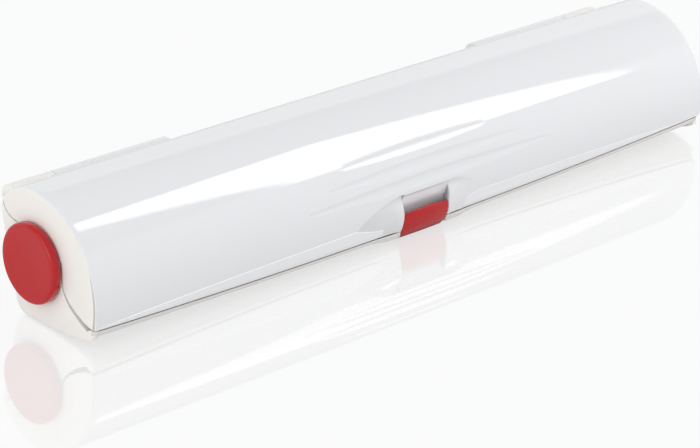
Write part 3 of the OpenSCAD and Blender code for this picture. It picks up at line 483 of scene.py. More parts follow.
def build_lid_shell():
    b = Builder()
    xs = shell_stations()
    table = [shell_rows(x) for x in xs]
    outer = [[(x, r[0], r[1]) for r in rows] for x, rows in zip(xs, table)]
    painted_lights = [[r[4] for r in rows] for rows in table]
    # the columns at the notch's two edges, and the first row above the pocket
    i0 = min(range(len(xs)), key=lambda i: abs(xs[i] + NOTCH + NOTCH_ROUND))
    i1 = min(range(len(xs)), key=lambda i: abs(xs[i] - NOTCH - NOTCH_ROUND))
    mid = table[len(xs) // 2]
    top = next(j for j, r in enumerate(mid) if r[1] > POCKET_TOP and r[0] < 0)
    # the row that runs along the notch's upper edge lies level across it
    level = POCKET_TOP + 0.25
    for i in range(i0 - 1, i1 + 2):
        depth = math.sqrt((LID_R + crown(xs[i])) ** 2 - (level - LID_CZ) ** 2)
        outer[i][top] = (xs[i], LID_CY - depth, level)
    # outer skin, left and right of the notch and above it
    b.grid(outer[:i0 + 1], painted_lights=painted_lights[:i0 + 1])
    b.grid([r[top:] for r in outer[i0:i1 + 1]], painted_lights=[t[top:] for t in painted_lights[i0:i1 + 1]])
    b.grid(outer[i1:], painted_lights=painted_lights[i1:])
    for rows, side in ((table[0], -1), (table[-1], 1)):
        # painted shade on the floor of the groove between the skin's end and the end wall, fading out
        # towards the top
        painted_shade = [[1.0] * 6 + [1 - 0.2 * edge_fade(r[5])] * 3 for r in rows]
        b.grid(end_ring(rows, side), flip=side > 0, painted_lights=painted_shade)
    notch_edge(b, outer[i0], top, -1)
    notch_edge(b, outer[i1], top, 1)
    pocket(b, outer[i0:i1 + 1], top)
    lower_lip(b, outer[:i0 + 1], painted_lights[:i0 + 1])
    lower_lip(b, outer[i1:], painted_lights[i1:])
    # inner skin, left and right of the notch and above the pocket
    for part in ([-186.5, *xs[10:i0:12], xs[i0]], [xs[i1], *xs[i1 + 10:-1:12], 186.5]):
        b.grid([inner_line(x) for x in part], flip=True)
    b.grid([inner_line(x, 8.0) for x in (xs[i0], 0, xs[i1])], flip=True)
    # rear edge beside the hinge bead
    rows = []
    for column in outer:
        x, y, z = column[-1]
        rows.append([(x, y, z), (x, y - 0.6, z - 0.9), inner_line(x)[-1]])
    b.grid(rows)
    ob = mesh_piece("lid_skin", b.v, b.f, "lid")
    set_painted_light(ob, b.tone)
    weld(ob, 0.004)
    orient(ob)
    sharpen(ob, 40)
    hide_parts("lid_shell")
    return ob


# wall of the lid shell
WALL = 2.2


def inner_line(x, a0=None):
    """Inside of the shell at x, from the angle a0 (degrees) or the lower edge over to the rear."""
    start = math.degrees(facet_angle(gap_line(x) + HALF_GAP + 0.3)) if a0 is None else a0
    ri, rbi = LID_R - WALL, BACK_R - WALL
    pts = []
    for i in range(25):
        a = math.radians(start + (90 - start) * i / 24)
        pts.append((x, LID_CY - ri * math.cos(a), LID_CZ + ri * math.sin(a)))
    for i in range(1, 9):
        t = math.radians(43.4 * i / 8)
        pts.append((x, LID_CY + rbi * math.sin(t), BACK_CZ + rbi * math.cos(t)))
    return pts


# ---- plates with rounded edges

def signed_area(pts):
    return sum(pts[i - 1][0] * p[1] - p[0] * pts[i - 1][1] for i, p in enumerate(pts)) / 2


def offset_in(pts, d):
    """Moves each point of a counter-clockwise outline inwards by its own distance d[i]."""
    least_square = 0.7  # keeps sharp corners from running far in
    n = len(pts)
    out = []
    for i in range(n):
        ax, ay = pts[i - 1]
        bx, by = pts[i]
        cx, cy = pts[(i + 1) % n]
        n1 = np.array([ay - by, bx - ax])
        n2 = np.array([by - cy, cx - bx])
        n1 = n1 / (np.linalg.norm(n1) or 1)
        n2 = n2 / (np.linalg.norm(n2) or 1)
        m = n1 + n2
        m = m * (2 / max(m @ m, least_square))
        out.append((bx + m[0] * d[i], by + m[1] * d[i]))
    return out


def plate(name, outline, x_wall, x_face, rounds, body, steps=6):
    """A plate across the tube, by its outline in (y, z); rounds gives each point's edge radius."""
    if signed_area(outline) < 0:
        outline = outline[::-1]
        rounds = rounds[::-1]
    sgn = 1 if x_face > x_wall else -1
    b = Builder()
    rows = [[(x_wall, y, z) for y, z in outline]]
    for s in range(steps + 1):
        t = math.radians(90 * s / steps)
        ring = offset_in(outline, [r * (1 - math.cos(t)) for r in rounds])
        rows.append([(x_face - sgn * r * (1 - math.sin(t)), y, z) for (y, z), r in zip(ring, rounds)])
    b.grid(rows, close_v=True, flip=sgn < 0)
    b.ngon(rows[-1], flip=sgn < 0)
    b.ngon(rows[0], flip=sgn > 0)
    ob = mesh_piece(name, b.v, b.f, body)
    weld(ob)
    bm = bmesh.new()
    bm.from_mesh(ob.data)
    big = [f for f in bm.faces if len(f.verts) > 4]
    bmesh.ops.triangulate(bm, faces=big)
    bmesh.ops.recalc_face_normals(bm, faces=bm.faces)
    bm.to_mesh(ob.data)
    bm.free()
    sharpen(ob, 35)
    return ob


# radius of the hub's slot in the base's end wall
HUB_R = 5.35
# lobe of the lid's end wall at the hinge, and the parting gap there
LOBE = (HINGE[0] - 8.5, HINGE[1] + 1.9)
LOBE_R = 9.25
GAP = 0.8
# parting line between the end walls, from beside the knob down to the tip: the lid's edge and the base's
LID_PART = [(-16.2, 33.0), (-16.3, 27.0), (-17.3, 21.9), (-19.6, 18.2),
            (-22.9, 15.4), (-29.4, 11.8), (-33.9, 10.35), (-36.6, 9.75)]
BASE_PART = [(-15.1, 33.0), (-15.2, 27.0), (-16.3, 21.3), (-18.8, 17.1),
             (-22.3, 13.9), (-28.8, 9.8), (-33.0, 7.9), (-35.0, 7.3)]
# the base's rounded rear corner, the bead along the back wall's top and the direction that wall faces
CORNER = (7.4, 7.6)
CORNER_R, BEAD_R = 7.0, 3.1
LEAN = (math.atan2(HINGE[1] - CORNER[1], HINGE[0] - CORNER[0])
        - math.acos((CORNER_R - BEAD_R) / math.dist(HINGE, CORNER)))
LEAN_N = (math.cos(LEAN), math.sin(LEAN))


def spline(pts, n):
    """Catmull-Rom curve through the points."""
    def blend(a, b, c, d, t):
        return 0.5 * (2 * b + (c - a) * t + (2 * a - 5 * b + 4 * c - d) * t * t
                      + (3 * b - a - 3 * c + d) * t ** 3)

    ext = [pts[0], *pts, pts[-1]]
    out = []
    for four in zip(ext, ext[1:], ext[2:], ext[3:]):
        out += [tuple(blend(*axis, k / n) for axis in zip(*four)) for k in range(n)]
    return out + [pts[-1]]


def circle_hit(c0, r0, c1, r1):
    """The point where two circles meet, the one with the larger y."""
    d = math.dist(c0, c1)
    a = (r0 * r0 - r1 * r1 + d * d) / (2 * d)
    h = math.sqrt(max(0.0, r0 * r0 - a * a))
    ux, uy = (c1[0] - c0[0]) / d, (c1[1] - c0[1]) / d
    p = (c0[0] + a * ux - h * uy, c0[1] + a * uy + h * ux)
    q = (c0[0] + a * ux + h * uy, c0[1] + a * uy - h * ux)
    return p if p[0] > q[0] else q


def angle_from(c, p):
    """Angle in degrees at which p lies, seen from c."""
    return math.degrees(math.atan2(p[1] - c[1], p[0] - c[0]))


def soften(rounds, share):
    """Brings each edge radius closer to the least one near it."""
    n = len(rounds)
    least = [min(rounds[(i + k) % n] for k in range(-2, 3)) for i in range(n)]
    return [a * share + r * (1 - share) for a, r in zip(least, rounds)]


class Outline:
    """Outline of an end wall in (y, z), with an edge radius for each point."""

    def __init__(self):
        self.pts, self.rounds = [], []

    def add(self, points, radius):
        for q in points:
            if not self.pts or math.dist(self.pts[-1], q) > 0.02:
                self.pts.append(q)
                self.rounds.append(radius)


def lid_end_outline():
    """Outline of the lid's end wall."""
    o = Outline()
    # front arc from the tip up to the top, in (y, z); the groove beside the skin narrows upwards
    for i in range(91):
        a = -10.4 + 100.4 * i / 90
        r = LID_R - 0.14 - 1.7 * edge_fade(a)
        t = math.radians(a)
        o.add([(LID_CY - r * math.cos(t), LID_CZ + r * math.sin(t))], 0.4)
    back, rb = (LID_CY, BACK_CZ), BACK_R - 0.14
    hit = circle_hit(back, rb, LOBE, LOBE_R)
    o.add(arc(*back, rb, 90, angle_from(back, hit), 30), 0.4)
    o.add(arc(*LOBE, LOBE_R, angle_from(LOBE, hit), -90, 24), 0.3)
    o.add(spline(LID_PART, 6), 0.35)
    return o.pts, soften(o.rounds, 0.4)


def base_end_outline(side):
    """Outline of the base's end wall, with the open slot for the hub; its front is higher on the right."""
    o = Outline()
    gap_r = LOBE_R + GAP
    lobe_low = (LOBE[0], LOBE[1] - gap_r)
    start = BASE_PART[0]
    slope = (lobe_low[1] - start[1]) / (lobe_low[0] - start[0])
    o.add(spline(BASE_PART, 6)[::-1], 0.3)
    o.add([(-HUB_R, start[1] + (-HUB_R - start[0]) * slope)], 0.25)
    o.add([(-HUB_R, ROLL_Z)], 0.2)
    o.add(arc(0, ROLL_Z, HUB_R, 180, 360, 24), 0.2)
    o.add([(HUB_R, start[1] + (HUB_R - start[0]) * slope)], 0.25)
    o.add([lobe_low], 0.35)
    o.add(arc(*LOBE, gap_r, -90, -23, 20), 0.3)
    o.add([(23.3, 46.9), (23.85, 46.0), (24.1, 44.3)], 0.3)
    o.add(arc(*CORNER, CORNER_R, math.degrees(LEAN), -90, 16), 0.8)
    up = 0.9 if side > 0 else 0.0
    o.add([(-5.0, FOOT_H), (-12.0, 0.85), (-19.0, 1.35), (-25.5, 2.0 + up * 0.3), (-29.5, 2.7 + up * 0.7),
           (-32.2, 3.5 + up), (-34.3, 4.4 + up)], 0.6)
    o.add([(-35.8, 5.3 + up), (-36.7, 6.1 + up * 0.7), (-37.1, 6.8 + up * 0.3), (-36.9, 7.3), (-36.3, 7.5),
           (-35.6, 7.45)], 0.12)
    return o.pts, soften(o.rounds, 0.5)


def finer(pts, rounds, step):
    """Adds points on long stretches, so that the rounding follows them."""
    out, rr = [], []
    n = len(pts)
    for i in range(n):
        a, b = pts[i], pts[(i + 1) % n]
        k = max(1, int(math.dist(a, b) / step))
        for j in range(k):
            t = j / k
            out.append((a[0] + (b[0] - a[0]) * t, a[1] + (b[1] - a[1]) * t))
            rr.append(rounds[i] * (1 - t) + rounds[(i + 1) % n] * t)
    return out, rr


def build_ends():
    """The end walls of lid and base."""
    for side, name in ((-1, "left"), (1, "right")):
        pts, rounds = finer(*lid_end_outline(), 1.5)
        ob = plate(f"lid_wall_{name}", pts, side * INNER, side * HALF_L, rounds, "lid")
        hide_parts(f"lid_end_{name}")
        add_spigot(side, name)
        pts, rounds = finer(*base_end_outline(side), 1.5)
        ob = plate(f"base_wall_{name}", pts, side * INNER, side * HALF_L, rounds, "base")
        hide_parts(f"base_end_{name}")


def add_spigot(side, name):
    """The lid wall's rim that sits inside the shell."""
    r0, r1 = LID_R - 2.25, LID_R - 4.05
    deep = INNER - 4
    rows = []
    for i in range(41):
        a = math.radians(8 + 80 * i / 40)
        c, s = math.cos(a), math.sin(a)
        ring = []
        for r, x in ((r0, INNER), (r0, deep + 0.3), (r0 - 0.3, deep), (r1 + 0.3, deep), (r1, deep + 0.3),
                     (r1, INNER)):
            ring.append((side * x, LID_CY - r * c, LID_CZ + r * s))
        rows.append(ring)
    b = Builder()
    b.grid(rows, flip=side > 0)
    ob = mesh_piece(f"spigot_{name}", b.v, b.f, "lid")
    orient(ob)
    sharpen(ob, 35)


# ---- base tray

# painted shade of the band below the parting gap, against the rest of the base
BAND_PAINTED_SHADE = 0.84
# wall of the tray's back
BACK_WALL = 2.0
# the lip behind the button: its top and its lower edge
CUT_LIP = ((-31.9, 3.6), (-31.9, 2.4))


def tray_front(x):
    """Front lip of the tray at x: its top and its lower edge, both (y, z). It swells beside the button."""
    u = abs(x) / HALF_L
    swell = smooth_step((33 - abs(x)) / 13)
    top = on_facet(gap_line(x) - HALF_GAP + 0.4 * swell, 0.9 * swell)
    low_z = top[1] - 1.5 - 0.9 * u ** 4 - 1.1 * swell
    low_y = TIP_Y - (low_z - TIP_Z) * math.tan(TIP_A) - 1.1 * swell
    return top, (low_y, low_z)


def tray_section(x, cut):
    """The tray's section at x; behind the button its front lip is cut back."""
    top, low = tray_front(x)
    if cut:
        top, low = CUT_LIP
    rr = min(0.45, (top[1] - low[1]) * 0.4)

    def belly(u):
        """The underside, from the lip (0) to the flat bottom (1)."""
        return low[0] + rr + (-NOSE_Y - low[0] - rr) * u, FOOT_H + (low[1] - FOOT_H) * (1 - u) ** 1.5

    # the inside, above the floor and above the underside
    wall = 1.0 if cut else 1.8
    line = [(x, -NOSE_Y, TRAY_FLOOR)]
    for u in (0.75, 0.55, 0.35, 0.2):
        y, z = belly(u)
        line.append((x, max(y, top[0] + 3.0), max(TRAY_FLOOR, z + wall)))
    line.append((x, top[0] - FACET_N[0] * 1.6, max(TRAY_FLOOR + 0.4, top[1] - FACET_N[1] * 1.6 - 0.8)))
    # the lip's upper and lower rounds
    r = 0.4
    for s in range(5):
        t = math.radians(90 * s / 4)
        dn, dt = r * (1 - math.sin(t)), r * (1 - math.cos(t))
        line.append((x, top[0] - FACET_N[0] * dn - FACET_T[0] * dt,
                     top[1] - FACET_N[1] * dn - FACET_T[1] * dt))
    for s in range(6):
        t = math.radians(90 * s / 5)
        line.append((x, low[0] + rr * (1 - math.cos(t)), low[1] + rr - rr * math.sin(t)))
    # underside: a belly that comes down to the bottom
    for u in (0.1, 0.22, 0.36, 0.52, 0.7, 0.88):
        line.append((x, *belly(u)))
    line += [(x, -NOSE_Y + 1.5, FOOT_H), (x, -5.0, FOOT_H), (x, CORNER[0], FOOT_H)]
    line += [(x, y, z) for y, z in arc(*CORNER, CORNER_R, -90, math.degrees(LEAN), 12)[1:]]
    # the back wall's outer face, in its middle
    mid = (CORNER_R + BEAD_R) / 2
    line.append((x, (CORNER[0] + HINGE[0]) / 2 + mid * LEAN_N[0],
                 (CORNER[1] + HINGE[1]) / 2 + mid * LEAN_N[1]))
    return line + back_wall_top(x)


# rows of a section from its start: inside, front band and belly; a lip's end takes LIP_FROM to LIP_TO
INSIDE_ROWS, BAND_ROWS, BELLY_ROWS = 6, 11, 6
LIP_FROM, LIP_TO = 5, 20
# the lip's ends follow an ellipse: where it starts, its length and how far it takes the front back
LIP_START, LIP_LENGTH, LIP_BACK = 184.4, 3.06, 2.6


def build_tray():
    b = Builder()
    left, right = -NOTCH - 0.5, NOTCH - 0.3
    rows = [tray_section(x, False) for x in spaced((-INNER, -60, left), (60, 50))]
    rows += [tray_section(x, True) for x in spaced((left + 0.02, right - 0.02), (9,))]
    rows += [tray_section(x, False) for x in spaced((right, 60, INNER), (50, 60))]
    # painted shade on the front band and, less, on the belly
    painted_shading = [1.0] * INSIDE_ROWS + [BAND_PAINTED_SHADE] * BAND_ROWS + [0.9] * BELLY_ROWS
    painted_shading += [1.0] * (len(rows[0]) - len(painted_shading))
    b.grid(rows, flip=True, painted_lights=[painted_shading] * len(rows))
    # the lip's rounded ends, in front of the end walls
    for side in (-1, 1):
        line = tray_section(side * INNER, False)[LIP_FROM:LIP_TO]
        rows = []
        for x in (INNER - 0.3, INNER, 185.4, 186.0, 186.5, 186.9, 187.2, 187.35, 187.42):
            q = (x - LIP_START) / LIP_LENGTH
            back = LIP_BACK * (1 - math.sqrt(max(0.0, 1 - q * q)))
            rows.append([(side * x, y + back, z + 0.12 * back) for _, y, z in line])
        # the lip's ends take the band's painted shade
        b.grid(rows, flip=side > 0, painted_lights=[[BAND_PAINTED_SHADE] * len(line)] * len(rows))
        b.ngon(rows[-1], side < 0)
    ob = mesh_piece("tray_body", b.v, b.f, "base")
    set_painted_light(ob, b.tone)
    orient(ob)
    sharpen(ob, 35)
    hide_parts("base_tray")
    return ob


# x at which a barrel of the base meets one of the lid (MID), and the barrels' other ends
LEFT_MID, LEFT_IN, RIGHT_OUT = -162.3, -99.9, 172.0
RIGHT_MID, RIGHT_IN = 150.3, 87.9


def back_wall_top(x):
    """Back wall's top at x: the bead, or the relief beside the lid's barrels, then down the inside."""
    cut = LEFT_MID < x < LEFT_IN + 0.4 or RIGHT_IN - 0.4 < x < RIGHT_MID
    lean = math.degrees(LEAN)

    def below(off, h):
        """The point off in front of the hinge axis across the wall, and h below it along the wall."""
        return x, HINGE[0] + LEAN_N[0] * off + LEAN_N[1] * h, HINGE[1] + LEAN_N[1] * off - LEAN_N[0] * h

    if cut:
        relief = 5.4
        pts = []
        for off in (BEAD_R, BEAD_R - BACK_WALL / 2, BEAD_R - BACK_WALL):
            pts.append(below(off, math.sqrt(relief * relief - off * off)))
        # as many points as the bead has
        pts += [pts[-1]] * 14
    else:
        pts = [(x, y, z) for y, z in arc(*HINGE, BEAD_R, lean, lean + 215, 16)]
    pts.append(below(BEAD_R - BACK_WALL, 5.6))
    inner = CORNER_R - BACK_WALL
    pts.append((x, CORNER[0] + inner * LEAN_N[0], CORNER[1] + inner * LEAN_N[1]))
    pts += [(x, y, z) for y, z in arc(*CORNER, inner, lean, -90, 6)[1:]]
    pts.append((x, -NOSE_Y + 1, TRAY_FLOOR))
    return pts


# ---- hinge barrels and knobs

def turned(prof, n, centre, side=1):
    """Rows of n profiles (x, radius) round the axis through centre (y, z)."""
    rows = []
    for i in range(n):
        a = 2 * math.pi * i / n
        rows.append([(side * x, centre[0] + q * math.cos(a), centre[1] + q * math.sin(a)) for x, q in prof])
    return rows


def build_barrels():
    """Two barrels of the base and two of the lid round the hinge axis."""
    bore, r, e = 1.6, 5.0, 0.5
    spans = [("barrel_base_left", "base", "warm_white", -INNER, LEFT_MID),
             ("barrel_lid_left", "lid", "gloss_white", LEFT_MID + 0.4, LEFT_IN),
             ("barrel_lid_right", "lid", "gloss_white", RIGHT_IN, RIGHT_MID - 0.4),
             ("barrel_base_right", "base", "warm_white", RIGHT_MID, RIGHT_OUT)]
    quarter = [math.radians(90 * s / 4) for s in range(5)]
    for name, body, slot, x0, x1 in spans:
        # the end at x0 is rounded, the one at x1 a little hollow
        prof = [(x0, bore)]
        prof += [(x0 + e * (1 - math.cos(t)), r - e + e * math.sin(t)) for t in quarter]
        prof += [(x1 - e * (1 - math.cos(t)), r - e + e * math.cos(t)) for t in quarter]
        prof += [(x1, bore)]
        b = Builder()
        b.grid(turned(prof, 64, HINGE), close_u=True, close_v=True)
        ob = mesh_piece(name, b.v, b.f, body)
        orient(ob)
        sharpen(ob, 35)


def build_knob(side, name):
    """Turned knob with a rounded rim, a fine step round its dished face and a stem."""
    # inner and outer face, radius, round of the rim, depth of the dish and of the step
    x0 = HALF_L + 0.8
    out = x0 + 4.2
    r, e = 17.5, 1.4
    dish, step = 0.5, 0.02
    prof = [(x0 + 0.25, 4.0), (x0, 5.0), (x0, r - 1.2)]
    for s in range(1, 6):
        t = math.radians(90 * s / 5)
        prof.append((x0 + 0.5 * (1 - math.cos(t)), r - 0.9 + 0.5 * math.sin(t) + 0.4 * s / 5))
    for s in range(11):
        t = math.radians(90 * s / 10)
        prof.append((out - e + e * math.sin(t), r - e + e * math.cos(t)))
    for s in range(1, 19):
        q = 1 - s / 18
        prof.append((out - dish * (1 - q * q) ** 0.9 - step, (r - 2 * e) * q))
    stem = [(x0 + 0.25, HUB_R - 0.1), (184.3, HUB_R - 0.1), (184.2, HUB_R - 0.4), (184.2, 3.6)]
    b = Builder()
    b.grid(turned(prof, 128, (0, ROLL_Z), side), close_u=True, flip=side > 0)
    b.grid(turned(stem, 48, (0, ROLL_Z), side), close_u=True)
    ob = mesh_piece(f"knob_turned_{name}", b.v, b.f, f"reel_{name}")
    weld(ob)
    orient(ob)
    sharpen(ob, 45)
    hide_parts(f"knob_{name}")
    return ob


# ---- button

def build_button():
    """Red button: its front bows from side to side and curves from top to bottom; all edges rounded."""
    # half width, radius of the bow from side to side, radius of the side edges
    w, bow, er = 14.0, 130.0, 0.5
    # axis and radius of the front's curve, then the cap's lower and upper end
    cy, cz, r = -27.7, 11.0, 12.0
    z0, z1 = 0.7, 14.8
    front = cy - r
    # reach and height of the rounds at the upper and lower edge
    reach, high = 0.75, 0.7
    a_low = -math.degrees(math.asin((cz - z0 - high) / r))
    a_top = math.degrees(math.asin((z1 - high - cz) / r))
    line = []
    for i in range(71):
        a = math.radians(a_low + (a_top - a_low) * i / 70)
        line.append((cy - r * math.cos(a), cz + r * math.sin(a)))
    (y_b, z_b), (y_t, z_t) = line[0], line[-1]
    low, top = [], []
    for s in range(1, 7):
        t = math.radians(90 * s / 6)
        low.append((y_b + reach * (1 - math.cos(t)) + 0.3 * s / 6, z_b - high * math.sin(t)))
        top.append((y_t + reach * (1 - math.cos(t)) + 0.12 * s / 6, z_t + high * math.sin(t)))
    low.append((-33.2, z0))
    # the top is thin, because the pocket's edge lies close behind it
    top += [(y_t + 0.95, z1 - 0.12), (y_t + 1.05, z1 - 0.5), (y_t + 1.15, z1 - 2.2)]
    line = low[::-1] + line + top
    rows = []
    for x in spaced((-w, -w + 0.04, -w + 0.15, -w + 0.3, -w + 0.5, w - 0.5, w - 0.3, w - 0.15, w - 0.04, w),
                    (2, 2, 2, 2, 45, 2, 2, 2, 2)):
        sag = bow - math.sqrt(bow * bow - x * x)
        q = max(0.0, abs(x) - (w - er))
        edge = er - math.sqrt(max(0.0, er * er - q * q))
        ridge = 0.27 * max(0.0, 1 - ((x - 1.3) / 6.6) ** 2)
        pts = []
        for y, z in line:
            m = math.hypot(y - cy, z - cz)
            yy, zz = y - (y - cy) / m * edge, z - (z - cz) / m * edge
            # the bow takes the front back at its sides
            yy = max(yy, front + sag + (yy - front) * 0.86)
            # a fine ridge across the middle of the front
            if y < -37:
                yy -= ridge * math.exp(-((z - 9.9) / 0.35) ** 2)
            # upper and lower edges bow too
            zz += (-1.2 * smooth_step((z - 8) / 7) + 0.2 * smooth_step((6 - z) / 4)) * (x / w) ** 2
            pts.append((x, yy, zz))
        rows.append(pts)
    b = Builder()
    b.grid(rows, flip=True)
    # the sides, less deep towards the top
    for ring in (rows[0], rows[-1]):
        side = []
        for x, y, z in ring:
            back = -34.4 - 3.3 * smooth_step((z - 9.2) / 1.4)
            side.append([(x, y, z), (x, max(y, back), z)])
        b.grid(side, flip=ring is rows[0])
    ob = mesh_piece("button_cap", b.v, b.f, "button")
    weld(ob)
    orient(ob)
    sharpen(ob, 50)
    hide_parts("release_button")
    return ob


def build_button_stem():
    """Stem and hook behind the cap: boxes with small rounds."""
    parts = [((-7.8, -35.6, 3.0), (-2.3, -26.5, 8.0)), ((2.3, -35.6, 3.0), (7.8, -26.5, 8.0)),
             ((-2.4, -35.6, 7.0), (2.4, -26.5, 8.0)), ((-4.0, -28.0, 7.5), (4.0, -26.5, 12.0)),
             ((-4.0, -29.4, 10.5), (4.0, -27.9, 12.0))]
    bm = bmesh.new()
    for lo, hi in parts:
        m = Matrix.Translation(Vector([(a + b) / 2 * MM for a, b in zip(lo, hi)])) @ Matrix.Diagonal(
            Vector([(b - a) * MM for a, b in zip(lo, hi)] + [1]))
        res = bmesh.ops.create_cube(bm, size=1, matrix=m)
        edges = {e for v in res["verts"] for e in v.link_edges}
        bmesh.ops.bevel(bm, geom=list(edges), offset=0.18 * MM, segments=2, affect="EDGES")
    me = bpy.data.meshes.new("button_stem")
    bm.to_mesh(me)
    bm.free()
    ob = bpy.data.objects.new("button_stem", me)
    bpy.context.scene.collection.objects.link(ob)
    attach(ob, "button")
    return ob


# ---- materials

def principled(name, base, rough, metallic=0.0):
    mat = bpy.data.materials.new(name)
    mat.use_nodes = True
    nt = mat.node_tree
    bsdf = nt.nodes["Principled BSDF"]
    bsdf.inputs["Base Color"].default_value = (*base, 1)
    bsdf.inputs["Roughness"].default_value = rough
    bsdf.inputs["Metallic"].default_value = metallic
    return mat, nt, bsdf


def noise(nt, vector, scale, detail=2.0):
    node = nt.nodes.new("ShaderNodeTexNoise")
    node.inputs["Scale"].default_value = scale
    node.inputs["Detail"].default_value = detail
    nt.links.new(vector, node.inputs["Vector"])
    return node.outputs["Fac"]


def vary_roughness(nt, bsdf, value, least, most):
    """The roughness goes from least to most with value."""
    ramp = nt.nodes.new("ShaderNodeMapRange")
    ramp.inputs["To Min"].default_value = least
    ramp.inputs["To Max"].default_value = most
    nt.links.new(value, ramp.inputs["Value"])
    nt.links.new(ramp.outputs["Result"], bsdf.inputs["Roughness"])


def moulded(name, base, rough, spread, rough_spread, scale, bump, bump_scale):
    """Moulded plastic or rubber: slight random changes of colour and roughness, and an orange-peel bump."""
    mat, nt, bsdf = principled(name, base, rough)
    new, link = nt.nodes.new, nt.links.new
    coord = new("ShaderNodeTexCoord").outputs["Object"]
    big = noise(nt, coord, scale, 4)
    vary_roughness(nt, bsdf, big, rough - rough_spread, rough + rough_spread)
    # inputs 0, 6 and 7 and output 2 of this node are its factor and its colours
    mix = new("ShaderNodeMix")
    mix.data_type = "RGBA"
    mix.inputs[6].default_value = (*[max(0, c - spread) for c in base], 1)
    mix.inputs[7].default_value = (*[min(1, c + spread) for c in base], 1)
    link(big, mix.inputs[0])
    link(mix.outputs[2], bsdf.inputs["Base Color"])
    peel = new("ShaderNodeBump")
    peel.inputs["Strength"].default_value = bump
    peel.inputs["Distance"].default_value = 0.0002
    link(noise(nt, coord, bump_scale), peel.inputs["Height"])
    link(peel.outputs["Normal"], bsdf.inputs["Normal"])
    return mat, nt, bsdf


# colour, roughness, spread of colour and of roughness, their scale, bump and its scale
MOULDED = {
    "gloss_white": ((0.79, 0.795, 0.81), 0.05, 0.004, 0.01, 8, 0.02, 350),
    "warm_white": ((0.84, 0.825, 0.79), 0.38, 0.006, 0.04, 20, 0.08, 900),
    "inner_plastic": ((0.74, 0.74, 0.72), 0.42, 0.01, 0.05, 20, 0.1, 700),
    "red_plastic": ((0.47, 0.012, 0.014), 0.24, 0.004, 0.03, 25, 0.04, 700),
    "grip_rubber": ((0.20, 0.20, 0.21), 0.7, 0.02, 0.05, 60, 0.3, 1500),
    "foot_rubber": ((0.08, 0.08, 0.08), 0.75, 0.01, 0.05, 60, 0.3, 1500),
}


def make_materials():
    mats = {}
    for name, values in MOULDED.items():
        mats[name], _, bsdf = moulded(name, *values)
        if name == "red_plastic":
            bsdf.inputs["Specular IOR Level"].default_value = 0.34
    # the same plastics, with the colour scaled by the painted light and shade that the pieces' vertices
    # carry
    for name, like in (("gloss_toned", "gloss_white"), ("warm_toned", "warm_white")):
        mats[name], nt, bsdf = moulded(name, *MOULDED[like])
        colour = bsdf.inputs["Base Color"].links[0].from_socket
        tone = nt.nodes.new("ShaderNodeAttribute")
        tone.attribute_name = "tone"
        times = nt.nodes.new("ShaderNodeVectorMath")
        times.operation = "SCALE"
        nt.links.new(colour, times.inputs[0])
        nt.links.new(tone.outputs["Fac"], times.inputs["Scale"])
        nt.links.new(times.outputs[0], bsdf.inputs["Base Color"])
    # metals with fine lines along the tube
    for name, base, rough in (("steel", (0.62, 0.63, 0.65), 0.28),
                              ("blade_steel", (0.66, 0.68, 0.70), 0.2)):
        mats[name], nt, bsdf = principled(name, base, rough, 1.0)
        coord = nt.nodes.new("ShaderNodeTexCoord")
        drawn = nt.nodes.new("ShaderNodeMapping")
        drawn.inputs["Scale"].default_value = (20, 900, 900)
        nt.links.new(coord.outputs["Object"], drawn.inputs["Vector"])
        lines = noise(nt, drawn.outputs["Vector"], 3)
        vary_roughness(nt, bsdf, lines, rough - 0.08, rough + 0.12)
    return mats


# start of a piece's name, and its material
PIECE_SLOTS = [("lid_skin", "gloss_toned"), ("lid_wall", "warm_white"), ("base_wall", "warm_white"),
               ("spigot", "warm_white"), ("tray", "warm_toned"), ("barrel_base", "warm_white"),
               ("barrel_lid", "gloss_white"), ("knob_turned", "red_plastic"), ("button", "red_plastic")]


def assign(mats):
    """Gives the frame's nodes the materials of their slots, and the scene's own pieces theirs."""
    slot_of = {s["node"]: s["material_slot"] for s in frame["record"]["subparts"]}
    for node, ob in NODES.items():
        mat = mats[slot_of[node]]
        if not ob.material_slots:
            ob.data.materials.append(mat)
        for s in ob.material_slots:
            s.material = mat
    for ob in bpy.data.objects:
        if ob.type == "MESH" and ob not in NODES.values() and not ob.data.materials:
            for start, material in PIECE_SLOTS:
                if ob.name.startswith(start):
                    ob.data.materials.append(mats[material])
                    break


# ---- stage, light and camera

def area_light(name, centre, right, size, radiance, color=(1, 1, 1), target=(0, 0, 0.03)):
    """A rectangular light that faces the target; its long side runs along right. The eye doesn't see it."""
    data = bpy.data.lights.new(name, "AREA")
    data.shape = "RECTANGLE"
    data.size, data.size_y = size
    data.energy = radiance * math.pi * size[0] * size[1]
    data.color = color
    ob = bpy.data.objects.new(name, data)
    bpy.context.scene.collection.objects.link(ob)
    z = (Vector(centre) - Vector(target)).normalized()
    x = Vector(right)
    x = (x - z * x.dot(z)).normalized()
    m = Matrix((x, z.cross(x), z)).transposed().to_4x4()
    m.translation = Vector(centre)
    ob.matrix_world = m
    ob.visible_camera = False
    return ob


